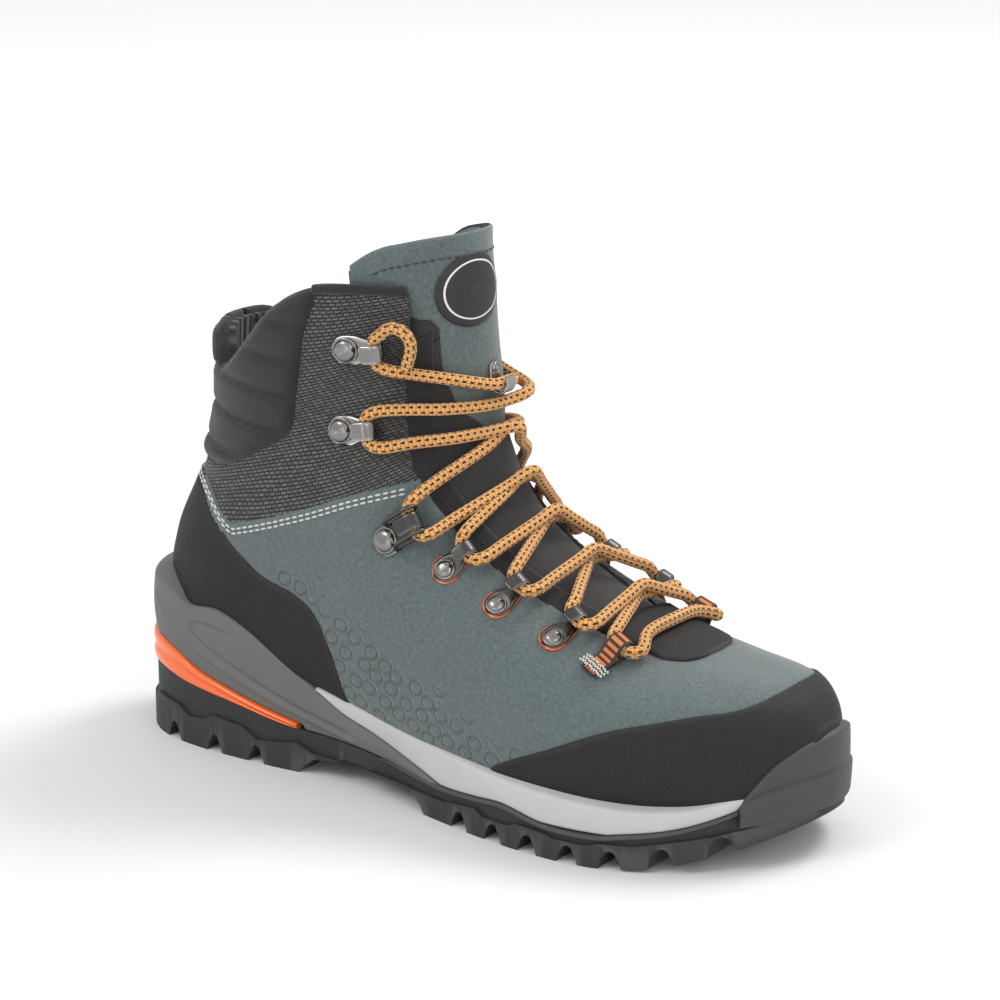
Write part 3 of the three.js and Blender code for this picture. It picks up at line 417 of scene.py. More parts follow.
def line_distance(points, line):
    """Distance of side-view points from a line."""
    best = np.full(len(points), FAR)
    for a, b in zip(line[:-1], line[1:]):
        d = b - a
        f = np.clip(((points - a) @ d) / max(d @ d, 1e-12), 0, 1)
        best = np.minimum(best, np.linalg.norm(points - a - f[:, None] * d, axis=1))
    return best


def polygon_field(xz, polygon):
    """Distance of side-view points from a polygon's edge, positive inside it."""
    closed = np.vstack([polygon, polygon[:1]]).astype(float)
    inside = np.zeros(len(xz), bool)
    for p, q in zip(closed[:-1], closed[1:]):
        if p[1] != q[1]:
            crosses = (p[1] > xz[:, 1]) != (q[1] > xz[:, 1])
            x = p[0] + (xz[:, 1] - p[1]) / (q[1] - p[1]) * (q - p)[0]
            inside ^= crosses & (xz[:, 0] < x)
    best = line_distance(xz, closed)
    return np.where(inside, best, -best)


def clip(sheet, field):
    """The part of a sheet where field(points, tp) is positive, cut along its zero line."""
    tp, tri = sheet
    value = field(surface(tp[:, 0], tp[:, 1]), tp)
    value = np.where(np.abs(value) < 1e-6, 1e-6, value)
    keep = value > 0
    count = keep[tri].sum(1)
    whole = tri[count == 3]
    extra, made, faces = [], {}, []

    def between(i, j):
        key = (i, j) if i < j else (j, i)
        if key not in made:
            f = value[i] / (value[i] - value[j])
            made[key] = len(tp) + len(extra)
            extra.append(tp[i] + (tp[j] - tp[i]) * f)
        return made[key]

    for t in tri[(count == 1) | (count == 2)]:
        k = keep[t]
        lone = int(np.argmax(k if k.sum() == 1 else ~k))
        a, b, c = (int(t[(lone + d) % 3]) for d in range(3))
        ab, ac = between(a, b), between(a, c)
        if k.sum() == 1:
            faces.append([a, ab, ac])
        else:
            faces += [[ab, b, c], [ab, c, ac]]
    tp = np.vstack([tp, extra]) if extra else tp
    tri = np.vstack([whole, faces]) if faces else whole
    used, index = np.unique(tri, return_inverse=True)
    return tp[used], index.reshape(-1, 3)


def rim_of(tri):
    """Directed boundary edges of a triangle sheet."""
    edges = np.vstack([tri[:, [0, 1]], tri[:, [1, 2]], tri[:, [2, 0]]])
    have = {(int(a), int(b)) for a, b in edges}
    return [(a, b) for a, b in have if (b, a) not in have]


def rim_distance(points, rim):
    tree = kdtree.KDTree(len(rim) * 2)
    for k, (a, b) in enumerate(rim):
        tree.insert(points[a], 2 * k)
        tree.insert((points[a] + points[b]) / 2, 2 * k + 1)
    tree.balance()
    return np.array([tree.find(p)[2] for p in points])


# Arc lengths in millimetres over the last, for textures: round it from the front, and along it.
GRID_T, GRID_P = np.arange(-NOSE_SPAN, LAST + 0.01, 0.1), np.arange(0, 1.0001, 0.01)
GRID = surface(GRID_T[:, None], GRID_P[None, :])
ROUND = np.cumsum(np.linalg.norm(np.diff(GRID, axis=1), axis=2), 1)
ROUND = np.concatenate([np.zeros((len(GRID_T), 1)), ROUND], 1)
ROUND = ROUND - ROUND[:, 50:51]
ALONG = np.r_[0, np.cumsum(np.linalg.norm(np.diff(GRID, axis=0), axis=2).mean(1))]


def skin_uv(tp):
    t = np.clip((tp[:, 0] + NOSE_SPAN) / 0.1, 0, len(GRID_T) - 1.001)
    p = np.clip(tp[:, 1] / 0.01, 0, len(GRID_P) - 1.001)
    i, j = t.astype(int), p.astype(int)
    ft, fp = t - i, p - j
    u = ((ROUND[i, j] * (1 - fp) + ROUND[i, j + 1] * fp) * (1 - ft)
         + (ROUND[i + 1, j] * (1 - fp) + ROUND[i + 1, j + 1] * fp) * ft)
    return np.stack([u, np.interp(tp[:, 0], GRID_T, ALONG)], -1)


def skin(name, sheet, material, top, depth, edge, body="root"):
    """A panel on the last: its face stands top mm out, its rim rounds off and goes down by depth."""
    tp, tri = sheet
    flat = surface(tp[:, 0], tp[:, 1])
    rim = rim_of(tri)
    d = np.minimum(rim_distance(flat, rim) / max(edge, 1e-6), 1)
    sink = edge * (1 - np.sqrt(np.maximum(1 - (1 - d) ** 2, 0)))
    raised = top(flat, tp) if callable(top) else np.full(len(tp), float(top))
    face = surface(tp[:, 0], tp[:, 1], -(raised - sink))
    ids = sorted({v for e in rim for v in e})
    low = surface(tp[ids, 0], tp[ids, 1], -(raised[ids] - depth))
    where = {v: len(tp) + k for k, v in enumerate(ids)}
    faces = tri.tolist() + [[b, a, where[a], where[b]] for a, b in rim]
    uv = skin_uv(np.vstack([tp, tp[ids]]))
    return add_object(name, (np.vstack([face, low]), faces, uv), material, body)


def pillow(name, sheet, material, front, behind, radius, shape, body="root"):
    """A closed padded sheet between two depths under the last's surface, rounded at its rim."""
    tp, tri = sheet
    flat = surface(tp[:, 0], tp[:, 1])
    rim = rim_of(tri)
    d = np.minimum(rim_distance(flat, rim) / radius, 1)
    full = np.sqrt(np.maximum(1 - (1 - d) ** 2, 0))
    middle = (front + behind) / 2
    a = surface(tp[:, 0], tp[:, 1], middle + (front - shape(flat, tp, d) - middle) * full)
    c = surface(tp[:, 0], tp[:, 1], middle + (behind - middle) * full)
    under = np.arange(len(tp)) + len(tp)
    on_rim = sorted({v for e in rim for v in e})
    under[on_rim] = on_rim
    part = np.vstack([a, c]), tri.tolist() + under[tri[:, ::-1]].tolist(), skin_uv(np.vstack([tp, tp]))
    return add_object(name, used_only(*part), material, body)


def side_line(line, outer):
    """(t, phi) of side-view points, found on the last's outer or inner half."""
    t, p = np.meshgrid(np.linspace(0, LAST, 161), np.linspace(0.02, 0.5, 61), indexing="ij")
    p = p if outer else 1 - p
    g = surface(t, p)[..., [0, 2]].reshape(-1, 2)
    out = []
    for q in np.asarray(line, float):
        k = np.linalg.norm(g - q, axis=1).argmin()
        a = np.array([t.ravel()[k], p.ravel()[k]])
        for _ in range(5):
            at = surface(a[0], a[1])[[0, 2]]
            jt = (surface(a[0] + 0.01, a[1])[[0, 2]] - at) / 0.01
            jp = (surface(a[0], a[1] + 0.001)[[0, 2]] - at) / 0.001
            j = np.stack([jt, jp], 1)
            if abs(np.linalg.det(j)) < 1e-3:
                break
            a = a + np.clip(np.linalg.solve(j, q - at), [-0.3, -0.02], [0.3, 0.02])
            a = np.clip(a, [0, 0.01 if outer else 0.5], [LAST, 0.5 if outer else 0.99])
        out.append(a)
    return np.array(out)


def stitches(name, lines, material, length, gap, radius, body="root"):
    """Rows of sewn stitches; each line is a list of millimetre points already on the panel."""
    parts = []
    swell = radius * np.array([0.35, 0.85, 1, 1.05, 1, 0.85, 0.35])
    for line in lines:
        dense = resampled(line, 0.2)
        s = arc_lengths(dense)
        at = 0.0
        while at + length < s[-1]:
            f = np.linspace(0, 1, len(swell))
            p = np.stack([np.interp(at + f * length, s, dense[:, k]) for k in range(3)], -1)
            parts.append(tube(p, swell, 6))
            at += length + gap
    return add_object(name, joined(parts), material, body)


def on_skin(tp, lift):
    tp = np.asarray(tp)
    return surface(tp[:, 0], tp[:, 1], -lift)


# ---- materials -----------------------------------------------------------------------------------
class Value:
    """An output socket of a node material; arithmetic on it adds Math nodes."""

    def __init__(self, shader, socket):
        self.shader, self.socket = shader, socket

    def maths(self, operation, other=0.0):
        return self.shader.maths(operation, self, other)

    def __add__(self, other):
        return self.maths("ADD", other)

    def __sub__(self, other):
        return self.maths("SUBTRACT", other)

    def __rsub__(self, other):
        return self.shader.maths("SUBTRACT", other, self)

    def __mul__(self, other):
        return self.maths("MULTIPLY", other)

    def __truediv__(self, other):
        return self.maths("DIVIDE", other)

    def __abs__(self):
        return self.maths("ABSOLUTE")

    def sine(self):
        return self.maths("SINE")

    def span(self, low, high, to_low=0.0, to_high=1.0):
        """Where this value is from low to high, carried to the other two numbers."""
        return self.shader.add("MapRange", dict(clamp=True), Value=self, From_Min=low, From_Max=high,
                               To_Min=to_low, To_Max=to_high)["Result"]


class Node:
    """A node whose outputs are read by name or number."""

    def __init__(self, shader, node):
        self.shader, self.node = shader, node

    def __getitem__(self, output):
        return Value(self.shader, self.node.outputs[output])


class Shader:
    """A node material; sockets are set by name, with _ for a space."""

    def __init__(self, name):
        self.material = bpy.data.materials.new(name)
        self.material.use_nodes = True
        self.tree = self.material.node_tree

    def feed(self, socket, value):
        if isinstance(value, Value):
            self.tree.links.new(value.socket, socket)
            return
        if isinstance(value, tuple) and len(value) == 3 and len(socket.default_value) == 4:
            value = (*value, 1)
        socket.default_value = value

    def add(self, kind, settings=None, **values):
        node = self.tree.nodes.new("ShaderNode" + kind)
        for key, value in (settings or {}).items():
            setattr(node, key, value)
        for key, value in values.items():
            self.feed(node.inputs[key.replace("_", " ")], value)
        return Node(self, node)

    def maths(self, operation, *values):
        made = self.add("Math", dict(operation=operation))
        for socket, value in zip(made.node.inputs, (*values, 0.0)):
            self.feed(socket, value)
        return made[0]

    def place(self):
        return self.add("TexCoord")["Object"]

    def noise(self, scale, detail=3, rough=0.55, distortion=0.0):
        return self.add("TexNoise", Scale=scale, Detail=detail, Roughness=rough, Vector=self.place(),
                        Distortion=distortion)["Fac"]

    def uv(self, turn=0.0):
        uv = self.add("UVMap", dict(uv_map="uv"))["UV"]
        return self.add("Mapping", Vector=uv, Rotation=(0, 0, turn))["Vector"]

    def split(self, vector):
        parts = self.add("SeparateXYZ", Vector=vector)
        return parts[0], parts[1], parts[2]

    def ramp(self, fac, stops):
        made = self.add("ValToRGB", Fac=fac)
        elements = made.node.color_ramp.elements
        while len(elements) < len(stops):
            elements.new(0.5)
        for element, (at, color) in zip(elements, stops):
            element.position, element.color = at, (*color, 1)
        return made["Color"]

    def mix(self, fac, a, b):
        made = self.add("Mix", dict(data_type="RGBA"))
        for k, value in ((0, fac), (6, a), (7, b)):
            self.feed(made.node.inputs[k], value)
        return made[2]

    def bump(self, height, strength, distance, normal=None):
        under = {} if normal is None else {"Normal": normal}
        return self.add("Bump", Height=height, Strength=strength, Distance=distance, **under)["Normal"]

    def convex_edge_mask(self, amount):
        """A small factor that is high on convex edges, where the materials lighten their colour."""
        return self.add("NewGeometry")["Pointiness"].span(0.52, 0.60) * amount

    def finish(self, color, roughness, normal, **rest):
        main = self.tree.nodes["Principled BSDF"]
        for key, value in dict(Base_Color=color, Roughness=roughness, Normal=normal, **rest).items():
            if value is not None:
                self.feed(main.inputs[key.replace("_", " ")], value)
        return self.material


def shade(color, factor, plus=0.0):
    return tuple(min(c * factor + plus, 1) for c in color)


def suede_material(name, color, embossed=False):
    s = Shader(name)
    nap, patch, speck = s.noise(760, 4, 0.75), s.noise(38, 4, 0.65, 0.5), s.noise(1500, 2, 0.6)
    base = s.ramp(nap, [(0.28, shade(color, 0.68)), (0.5, color), (0.74, shade(color, 1.4))])
    base = s.mix(patch.span(0.35, 0.7, 0, 0.2), base, shade(color, 1.4))
    base = s.mix(speck.span(0.6, 0.75, 0, 0.45), base, shade(color, 0.4))
    # Convex edges of the suede are coloured lighter.
    base = s.mix(s.convex_edge_mask(0.4), base, shade(color, 1.9))
    normal = s.bump(nap * 0.7 + speck * 0.3, 0.55, 0.0006)
    if embossed:
        # Sunk ovals low on the outer quarter, under a slanted and ragged upper edge.
        x, y, z = s.split(s.place())
        flat = s.add("CombineXYZ", X=x, Y=z, Z=0.0)[0]
        flat = s.add("Mapping", Vector=flat, Scale=(1, 1.2, 1), Rotation=(0, 0, 0.5))[0]
        cells = s.add("TexVoronoi", dict(voronoi_dimensions="2D", feature="F1"), Scale=118.0, Randomness=0.35,
                      Vector=flat)
        ring = 1.0 - abs(cells["Distance"] - 0.36).span(0.03, 0.09)
        ragged = s.split(cells["Color"])[0]
        low = (x * -0.40 + 0.052 + ragged * 0.009 - z).span(0.0, 0.004)
        outside_only = y.span(-0.015, -0.022)
        back_end = (x + ragged * 0.02).span(-0.052, -0.046)
        mask = (ring * low) * (outside_only * back_end)
        normal = s.bump(mask, 0.55, -0.0012, normal)
        base = s.mix(mask * 0.6, base, shade(color, 0.55))
    return s.finish(base, 0.95, normal, Sheen_Weight=0.35, Sheen_Roughness=0.5, Specular_IOR_Level=0.15)


def rubber_material(name, color, rough, grain, depth, edge_lightening, shine=0.35):
    s = Shader(name)
    fine, broad = s.noise(grain, 3, 0.6), s.noise(24, 3, 0.6)
    base = s.mix(broad.span(0.3, 0.75, 0, 0.4), color, shade(color, 1.35, 0.004))
    # Convex edges of the rubber are coloured lighter.
    base = s.mix(s.convex_edge_mask(edge_lightening), base, shade(color, 2.2, 0.03))
    return s.finish(base, fine.span(0.3, 0.7, rough - 0.08, rough + 0.1), s.bump(fine, 0.35, depth),
                    Specular_IOR_Level=shine)


def brick_material(name):
    """Black textile with short embossed bars in a slanted brick pattern."""
    s = Shader(name)
    brick = s.add("TexBrick", dict(offset=0.5, squash=1.0), Vector=s.uv(0.45), Scale=1.0, Mortar_Size=0.34,
                  Mortar_Smooth=0.35, Brick_Width=3.3, Row_Height=1.6, Color1=(0.125, 0.122, 0.118),
                  Color2=(0.066, 0.064, 0.062), Mortar=(0.0015, 0.0015, 0.0015))
    weave = s.noise(1500, 2, 0.6)
    base = s.mix(weave.span(0.4, 0.75, 0, 0.2), brick["Color"], (0.05, 0.049, 0.048))
    normal = s.bump(1.0 - brick["Fac"], 1.0, 0.0018, s.bump(weave, 0.4, 0.0002))
    return s.finish(base, 0.75, normal, Specular_IOR_Level=0.35, Sheen_Weight=0.15)


def knit_material(name, color, pitch, ribs=0.0):
    """Fine cloth: crossed waves at the thread pitch, with optional broad ribs."""
    s = Shader(name)
    u, v, _ = s.split(s.uv())
    k = 2 * math.pi / pitch
    wave = (u * k).sine() * (v * k).sine()
    fuzz, blotch = s.noise(1300, 3, 0.7), s.noise(60, 3, 0.6)
    base = s.mix(wave.span(-1, 1), shade(color, 0.6), shade(color, 1.6))
    base = s.mix(fuzz.span(0.45, 0.75, 0, 0.5), base, shade(color, 2.0))
    base = s.mix(blotch.span(0.4, 0.7, 0, 0.25), base, shade(color, 1.7))
    normal = s.bump(wave, 0.4, 0.0002, s.bump(fuzz, 0.5, 0.0003))
    if ribs:
        rib = (u * (2 * math.pi / ribs)).sine()
        normal = s.bump(rib, 0.8, 0.0007, normal)
        base = s.mix(rib.span(-1, 0.2, 0.6, 0), base, shade(color, 0.35))
    return s.finish(base, 0.92, normal, Sheen_Weight=0.25, Specular_IOR_Level=0.2)


def metal_material(name, color, rough):
    s = Shader(name)
    scratch, haze = s.noise(260, 5, 0.7, 1.5), s.noise(60, 3, 0.6)
    base = s.mix(haze.span(0.35, 0.7, 0, 0.5), color, shade(color, 0.7))
    # Convex edges of the metal are coloured lighter.
    base = s.mix(s.convex_edge_mask(0.6), base, shade(color, 1.7))
    return s.finish(base, scratch.span(0.3, 0.7, rough - 0.08, rough + 0.12), s.bump(scratch, 0.12, 0.0002),
                    Metallic=1.0)


def lace_material(name):
    """Round braid: strands crossing at a slant, with staggered rows of dark dashes."""
    s = Shader(name)
    turn, length, _ = s.split(s.uv())
    across = turn * 7.0
    stagger = across.maths("FLOOR").maths("MODULO", 2.0) * 0.5
    dash = (abs((length / 2.9 + stagger).maths("FRACT") - 0.5).span(0.30, 0.22)
            * abs(across.maths("FRACT") - 0.5).span(0.24, 0.17))
    one_way, other_way = turn * 22.0 + length * 0.7, turn * 22.0 - length * 0.7
    over = (one_way * math.pi).sine() * (other_way * math.pi).sine()
    fuzz = s.noise(1600, 2, 0.6)
    base = s.ramp(over.span(-1, 1), [(0.0, (0.42, 0.125, 0.014)), (0.4, (0.70, 0.285, 0.058)),
                                     (1.0, (0.92, 0.56, 0.21))])
    base = s.mix(fuzz.span(0.4, 0.75, 0, 0.3), base, (0.92, 0.68, 0.34))
    base = s.mix(dash, base, (0.014, 0.012, 0.012))
    normal = s.bump(over, 0.7, 0.0004, s.bump(fuzz, 0.3, 0.0002))
    return s.finish(base, 0.8, normal, Sheen_Weight=0.2, Specular_IOR_Level=0.25)


def thread_material(name, color):
    s = Shader(name)
    turn, length, _ = s.split(s.uv())
    twist = (turn * 12.6 + length * 9.0).sine()
    return s.finish(s.mix(twist.span(-1, 1), shade(color, 0.7), color), 0.7, s.bump(twist, 0.5, 0.0001))


def webbing_material(name, color, bars):
    """Twill with bars across its middle."""
    s = Shader(name)
    u, v, _ = s.split(s.uv())
    twill = ((u + v * 0.8) * 7.0).sine()
    fuzz = s.noise(1400, 2)
    base = s.mix(twill.span(-1, 1), shade(color, 0.5), shade(color, 1.8))
    bar = abs((u / 2.6).maths("FRACT") - 0.5).span(0.30, 0.24)
    base = s.mix(bar * abs(v).span(2.9, 2.5), base, bars)
    base = s.mix(fuzz.span(0.5, 0.8, 0, 0.3), base, (0.12, 0.12, 0.12))
    return s.finish(base, 0.85, s.bump(twill, 0.6, 0.0003, s.bump(fuzz, 0.3, 0.0002)))


SUEDE = suede_material("suede", (0.098, 0.124, 0.124), embossed=True)
TONGUE_SUEDE = suede_material("tongue_suede", (0.098, 0.122, 0.122))
RAND = rubber_material("rand_rubber", (0.0125, 0.0115, 0.0115), 0.7, 1100, 0.00025, 0.4)
OUTSOLE = rubber_material("outsole_rubber", (0.026, 0.025, 0.025), 0.62, 700, 0.0003, 0.6)
BUMPER = rubber_material("bumper_rubber", (0.050, 0.048, 0.045), 0.55, 800, 0.0002, 0.4)
PALE = rubber_material("pale_foam", (0.44, 0.446, 0.43), 0.6, 1200, 0.00012, 0.1)
STRIP = rubber_material("strip_foam", (0.06, 0.059, 0.058), 0.6, 1200, 0.00012, 0.1)
CUP = rubber_material("cup_foam", (0.118, 0.118, 0.117), 0.58, 1400, 0.0001, 0.2)
ORANGE = rubber_material("orange_plastic", (0.80, 0.13, 0.016), 0.13, 300, 0.00003, 0.0, 0.85)
BRICK = brick_material("brick_textile")
SOFT = knit_material("softshell", (0.020, 0.0195, 0.020), 0.9)
GUSSET = knit_material("gusset", (0.032, 0.031, 0.031), 0.8)
LINER = knit_material("lining", (0.028, 0.028, 0.030), 1.3, ribs=5.0)
FELT = knit_material("footbed_felt", (0.07, 0.075, 0.08), 1.6)
METAL = metal_material("gunmetal", (0.085, 0.083, 0.08), 0.3)
SILVER = metal_material("bright_nickel", (0.25, 0.243, 0.235), 0.2)
LACE_BRAID = lace_material("lace_braid")
WHITE_THREAD = thread_material("white_thread", (0.72, 0.72, 0.68))
DARK_THREAD = thread_material("dark_thread", (0.045, 0.05, 0.052))
WEBBING = webbing_material("webbing", (0.03, 0.03, 0.03), (0.75, 0.22, 0.05))
BADGE = rubber_material("badge_plastic", (0.018, 0.018, 0.019), 0.4, 900, 0.0001, 0.2)
BADGE_RING = rubber_material("badge_ring", (0.62, 0.62, 0.60), 0.35, 900, 0.0001, 0.1)
BOARD_FIBRE = rubber_material("fibre_board", (0.30, 0.26, 0.20), 0.9, 500, 0.0002, 0.1)
STEEL = metal_material("plain_steel", (0.5, 0.5, 0.5), 0.35)

# ---- lace ----------------------------------------------------------------------------------------
bar = [surface(t, phi, -(LACE / 2 + TAB + 0.9)) for t, phi in LOWEST_BAR]
route = centripetal([*strand_points(True)[::-1], *bar, *strand_points(False)])
for _ in range(10):
    route[1:-1] = (route[:-2] + 2 * route[1:-1] + route[2:]) / 4
route = resampled(route, 1.0)
lace = add_object("lace_cord", tube(route, LACE / 2, 18), LACE_BRAID)
lace_line = metres(route)
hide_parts("lace")

# ---- panels of the upper -------------------------------------------------------------------------
FAR_UP = [[60, 300], [-170, 300]]
HEEL_SIDE = np.vstack([HEEL_RAND, [[-36, -20], [-170, -20], [-170, 106]]])
TOE_SIDE = np.vstack([TOE_RAND, [[170, 76], [170, -20], [36, -20]]])
COLLAR_SIDE = np.vstack([COLLAR_FRONT, [[-170, 114], [-170, 300], [-43, 300]]])
ABOVE_SEAM = np.vstack([ANKLE_SEAM, [[160, 300], [-170, 300], [-170, 110]]])
ABOVE_TOP = np.vstack([TOP_LINE, FAR_UP, [[-170, 166]]])
ABOVE_TONGUE = np.vstack([TONGUE_TOP, FAR_UP])
PHI_TO_MM = 240  # about one millimetre for 1/240 of a turn round the last


def inside(polygon, grow=0.0):
    return lambda q, tp: polygon_field(q[:, [0, 2]], polygon) + grow


def outside(polygon, grow=0.0):
    return lambda q, tp: grow - polygon_field(q[:, [0, 2]], polygon)


def from_middle(tp):
    return np.abs(tp[:, 1] - 0.5)


def off_throat(extra=0.0, start=3.4):
    return lambda q, tp: np.maximum((from_middle(tp) - along(THROAT, tp[:, 0]) - extra) * PHI_TO_MM,
                                    (start - tp[:, 0]) * 25)


def shell(t0, t1, *fields, rows_per=18, columns=190):
    sheet = sheet_grid(t0, t1, 0.0, 1.0, int((t1 - t0) * rows_per) + 2, columns)
    for field in fields:
        sheet = clip(sheet, field)
    return sheet


def near(polyline, width, height):
    """A raised band of this width beside a side-view line."""
    line = np.vstack([polyline, polyline[::-1] + 0.01])
    return lambda q, tp: height * np.clip(1 - np.abs(polygon_field(q[:, [0, 2]], line)) / width, 0, 1) ** 0.5


suede = skin("suede_shell", shell(0.2, 12.6, outside(ABOVE_SEAM, 0.8), off_throat(), outside(HEEL_SIDE, 4),
                                  outside(TOE_SIDE, 4)), SUEDE, near(ANKLE_SEAM, 16, 0.6), 2.2, 0.9)
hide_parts("suede_upper")
toe = skin("toe_rand_skin", shell(-NOSE_SPAN, 6.6, inside(TOE_SIDE)), RAND, 0.9, 1.5, 0.8)
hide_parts("toe_rand")
heel = skin("heel_rand_skin", shell(6.5, 14.5, inside(HEEL_SIDE)), RAND, 0.9, 1.5, 0.8)
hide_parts("heel_rand")
panel = skin("ankle_textile", shell(7.2, 16, inside(ABOVE_SEAM, 3), outside(COLLAR_SIDE, 1.5),
                                    outside(ABOVE_TOP + [0, -1.5]), off_throat()), BRICK, 0.0, 2.0, 0.8)
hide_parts("ankle_panel_outer", "ankle_panel_inner")


def channels(q, tp, d):
    """Sewn channels across the collar pad, nearly level and evenly spaced."""
    k = (q[:, 2] + 0.10 * (q[:, 0] + 90) - 121.0) / 14.5
    off = np.abs(k - np.round(k)) * 14.5
    return (0.9 - np.exp(-(off / 1.5) ** 2) * 1.3) * d ** 0.5


collar = pillow("collar_padding", shell(10.2, 16, inside(COLLAR_SIDE, -0.3), outside(ABOVE_TOP, 0.3)), SOFT,
                -1.4, 4.2, 4.5, channels)
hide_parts("collar_pad")

parts = []
for _, outer, _ in SIDES:
    line = TOP_LINE[(TOP_LINE[:, 0] > -49) & (TOP_LINE[:, 0] < -12)]
    tp = side_line(line + [0, -0.6], outer)
    tp = tp[from_middle(tp) > along(THROAT, tp[:, 0]) - 0.003]
    parts.append(tube(resampled(on_skin(tp, -0.9), 0.8), 2.0, 12))
binding = add_object("collar_binding", joined(parts), SOFT)
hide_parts("collar_binding_outer", "collar_binding_inner")

liner = skin("bootie_lining", shell(3.4, 16, outside(ABOVE_TOP + [0, -2.0]), off_throat(0.004, 3.7),
                                    rows_per=12, columns=150), LINER, -6.3, -3.0, 0.0)
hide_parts("lining_bootie")


def tongue_half(t):
    return along(THROAT, t) - 0.010 + 0.022 * np.clip((t - 13.0) / 1.2, 0, 1)


def spread(half_at, most, rise):
    """Inside the tongue's width, or above the collar's top line out to a wider one."""
    def field(q, tp):
        above = q[:, 2] - along(TOP_LINE, q[:, 0]) - rise
        return np.maximum((half_at(tp[:, 0]) - from_middle(tp)) * PHI_TO_MM,
                          np.minimum((most - from_middle(tp)) * PHI_TO_MM, above))
    return field


def behind_panel(t):
    return tongue_half(t) + 0.024 * np.clip((t - 12.0) / 0.2, 0, 1)


def sheet_half(t):
    return np.where(t > 11.9, 0.19, tongue_half(t) + 0.004)


def tongue_shape(q, tp, d):
    """Crowned across, folded low down, and tucked in where it goes behind the collar."""
    fold = 0.5 * np.sin(q[:, 2] * 0.35) * np.clip((9.0 - tp[:, 0]) / 3, 0, 1)
    tuck = 2.2 * np.clip((from_middle(tp) - tongue_half(tp[:, 0])) / 0.018 + 0.6, 0, 1)
    return (0.9 - 0.9 * (from_middle(tp) / tongue_half(tp[:, 0])) ** 2 + fold * 0.4) * d - tuck


sheet = sheet_grid(4.0, 16, lambda t: 0.5 - sheet_half(t), lambda t: 0.5 + sheet_half(t), 230, 90)
sheet = clip(clip(sheet, spread(behind_panel, 0.184, -1.6)), outside(ABOVE_TONGUE, -1.6))
tongue = pillow("tongue_padding", sheet, GUSSET, 2.0, 8.6, 3.6, tongue_shape, body=None)
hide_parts("tongue_pad", "tongue_pad_top")
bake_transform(tongue)


def face_half(t):
    return along(FACE, t) + 0.022 * np.clip((t - 12.6) / 0.5, 0, 1)


sheet = clip(clip(sheet_grid(8.2, 16, 0.3, 0.7, 170, 150), spread(face_half, 0.182, -1.5)),
             outside(ABOVE_TONGUE, -0.2))
face = skin("tongue_suede_face", sheet, TONGUE_SUEDE, lambda q, tp: -0.9 + tongue_shape(q, tp, 1.0), 1.0, 0.9,
            body=None)
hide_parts("tongue_face", "tongue_face_top")
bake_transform(face)

for label, outer, sign in SIDES:
    sheet = sheet_grid(4.7, 12.2, lambda t: 0.5 + sign * (along(THROAT, t) + 0.012),
                       lambda t: 0.5 + sign * (along(THROAT, t) - 0.030), 110, 14)
    if not outer:
        sheet = sheet[0], sheet[1][:, ::-1]
    trim = skin(f"facing_{label}_trim", sheet, SOFT, -0.5, 1.0, 0.6)
    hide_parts(f"facing_{label}")

sheet = sheet_grid(3.16, 4.45, lambda t: 0.5 - along(TAB_HALF, t), lambda t: 0.5 + along(TAB_HALF, t), 34, 26)
tab = skin("throat_tab_skin", sheet, RAND, 1.5, 1.4, 0.8)
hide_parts("throat_tab")

# ---- badge on the tongue: a plain oval with a pale rim, no lettering -----------------------------
BADGE_T, BADGE_PHI, BADGE_TILT = 12.95, 0.474, 0.12


def level_with(phi, z):
    """Section at which each phi reaches a height, sought from the badge's own."""
    t = np.full(len(phi), BADGE_T)
    for _ in range(8):
        here = surface(t, phi)[:, 2]
        t = t + (z - here) * 1e-3 / (surface(t + 1e-3, phi)[:, 2] - here)
    return t


def oval_disc(name, material, rx, ry, height, rise):
    """An oval that wraps round the tongue: its width is measured along the surface, level."""
    z0 = surface(BADGE_T, BADGE_PHI)[2]
    pair = np.array([BADGE_PHI - 0.02, BADGE_PHI + 0.02])
    ends = surface(level_with(pair, z0), pair)
    per_mm = 0.04 / np.linalg.norm(ends[1] - ends[0])
    rings, sides = 12, 72
    f = np.repeat(np.sin(np.linspace(0, math.pi / 2, rings)), sides)
    a = np.tile(circle(sides), rings)
    x, y = rx * f * np.cos(a), ry * f * np.sin(a)
    phi = BADGE_PHI + x * per_mm
    t = level_with(phi, z0 + y + BADGE_TILT * x)
    at = surface(t, phi, -(rise + height * np.sqrt(np.clip(1 - f ** 8, 0, 1))))
    part = at, grid_faces(rings, sides, wrap=True).tolist(), np.stack([x, y], -1)
    return add_object(name, part, material, "tongue_top")


plate = oval_disc("badge_rim", BADGE, 15.6, 13.4, 1.0, 0.1)
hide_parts("tongue_badge")
oval_disc("badge_ring", BADGE_RING, 13.2, 11.0, 0.35, 0.85)
oval_disc("badge_centre", BADGE, 12.65, 10.45, 0.5, 0.85)


# ---- metal and webbing fittings, in their own axes: x towards the lacing, z out of the boot ------
def arc(x, z, radius, start, end):
    a = np.radians(np.linspace(start, end, 13))
    return np.stack([x + radius * np.cos(a), z + radius * np.sin(a)], -1)


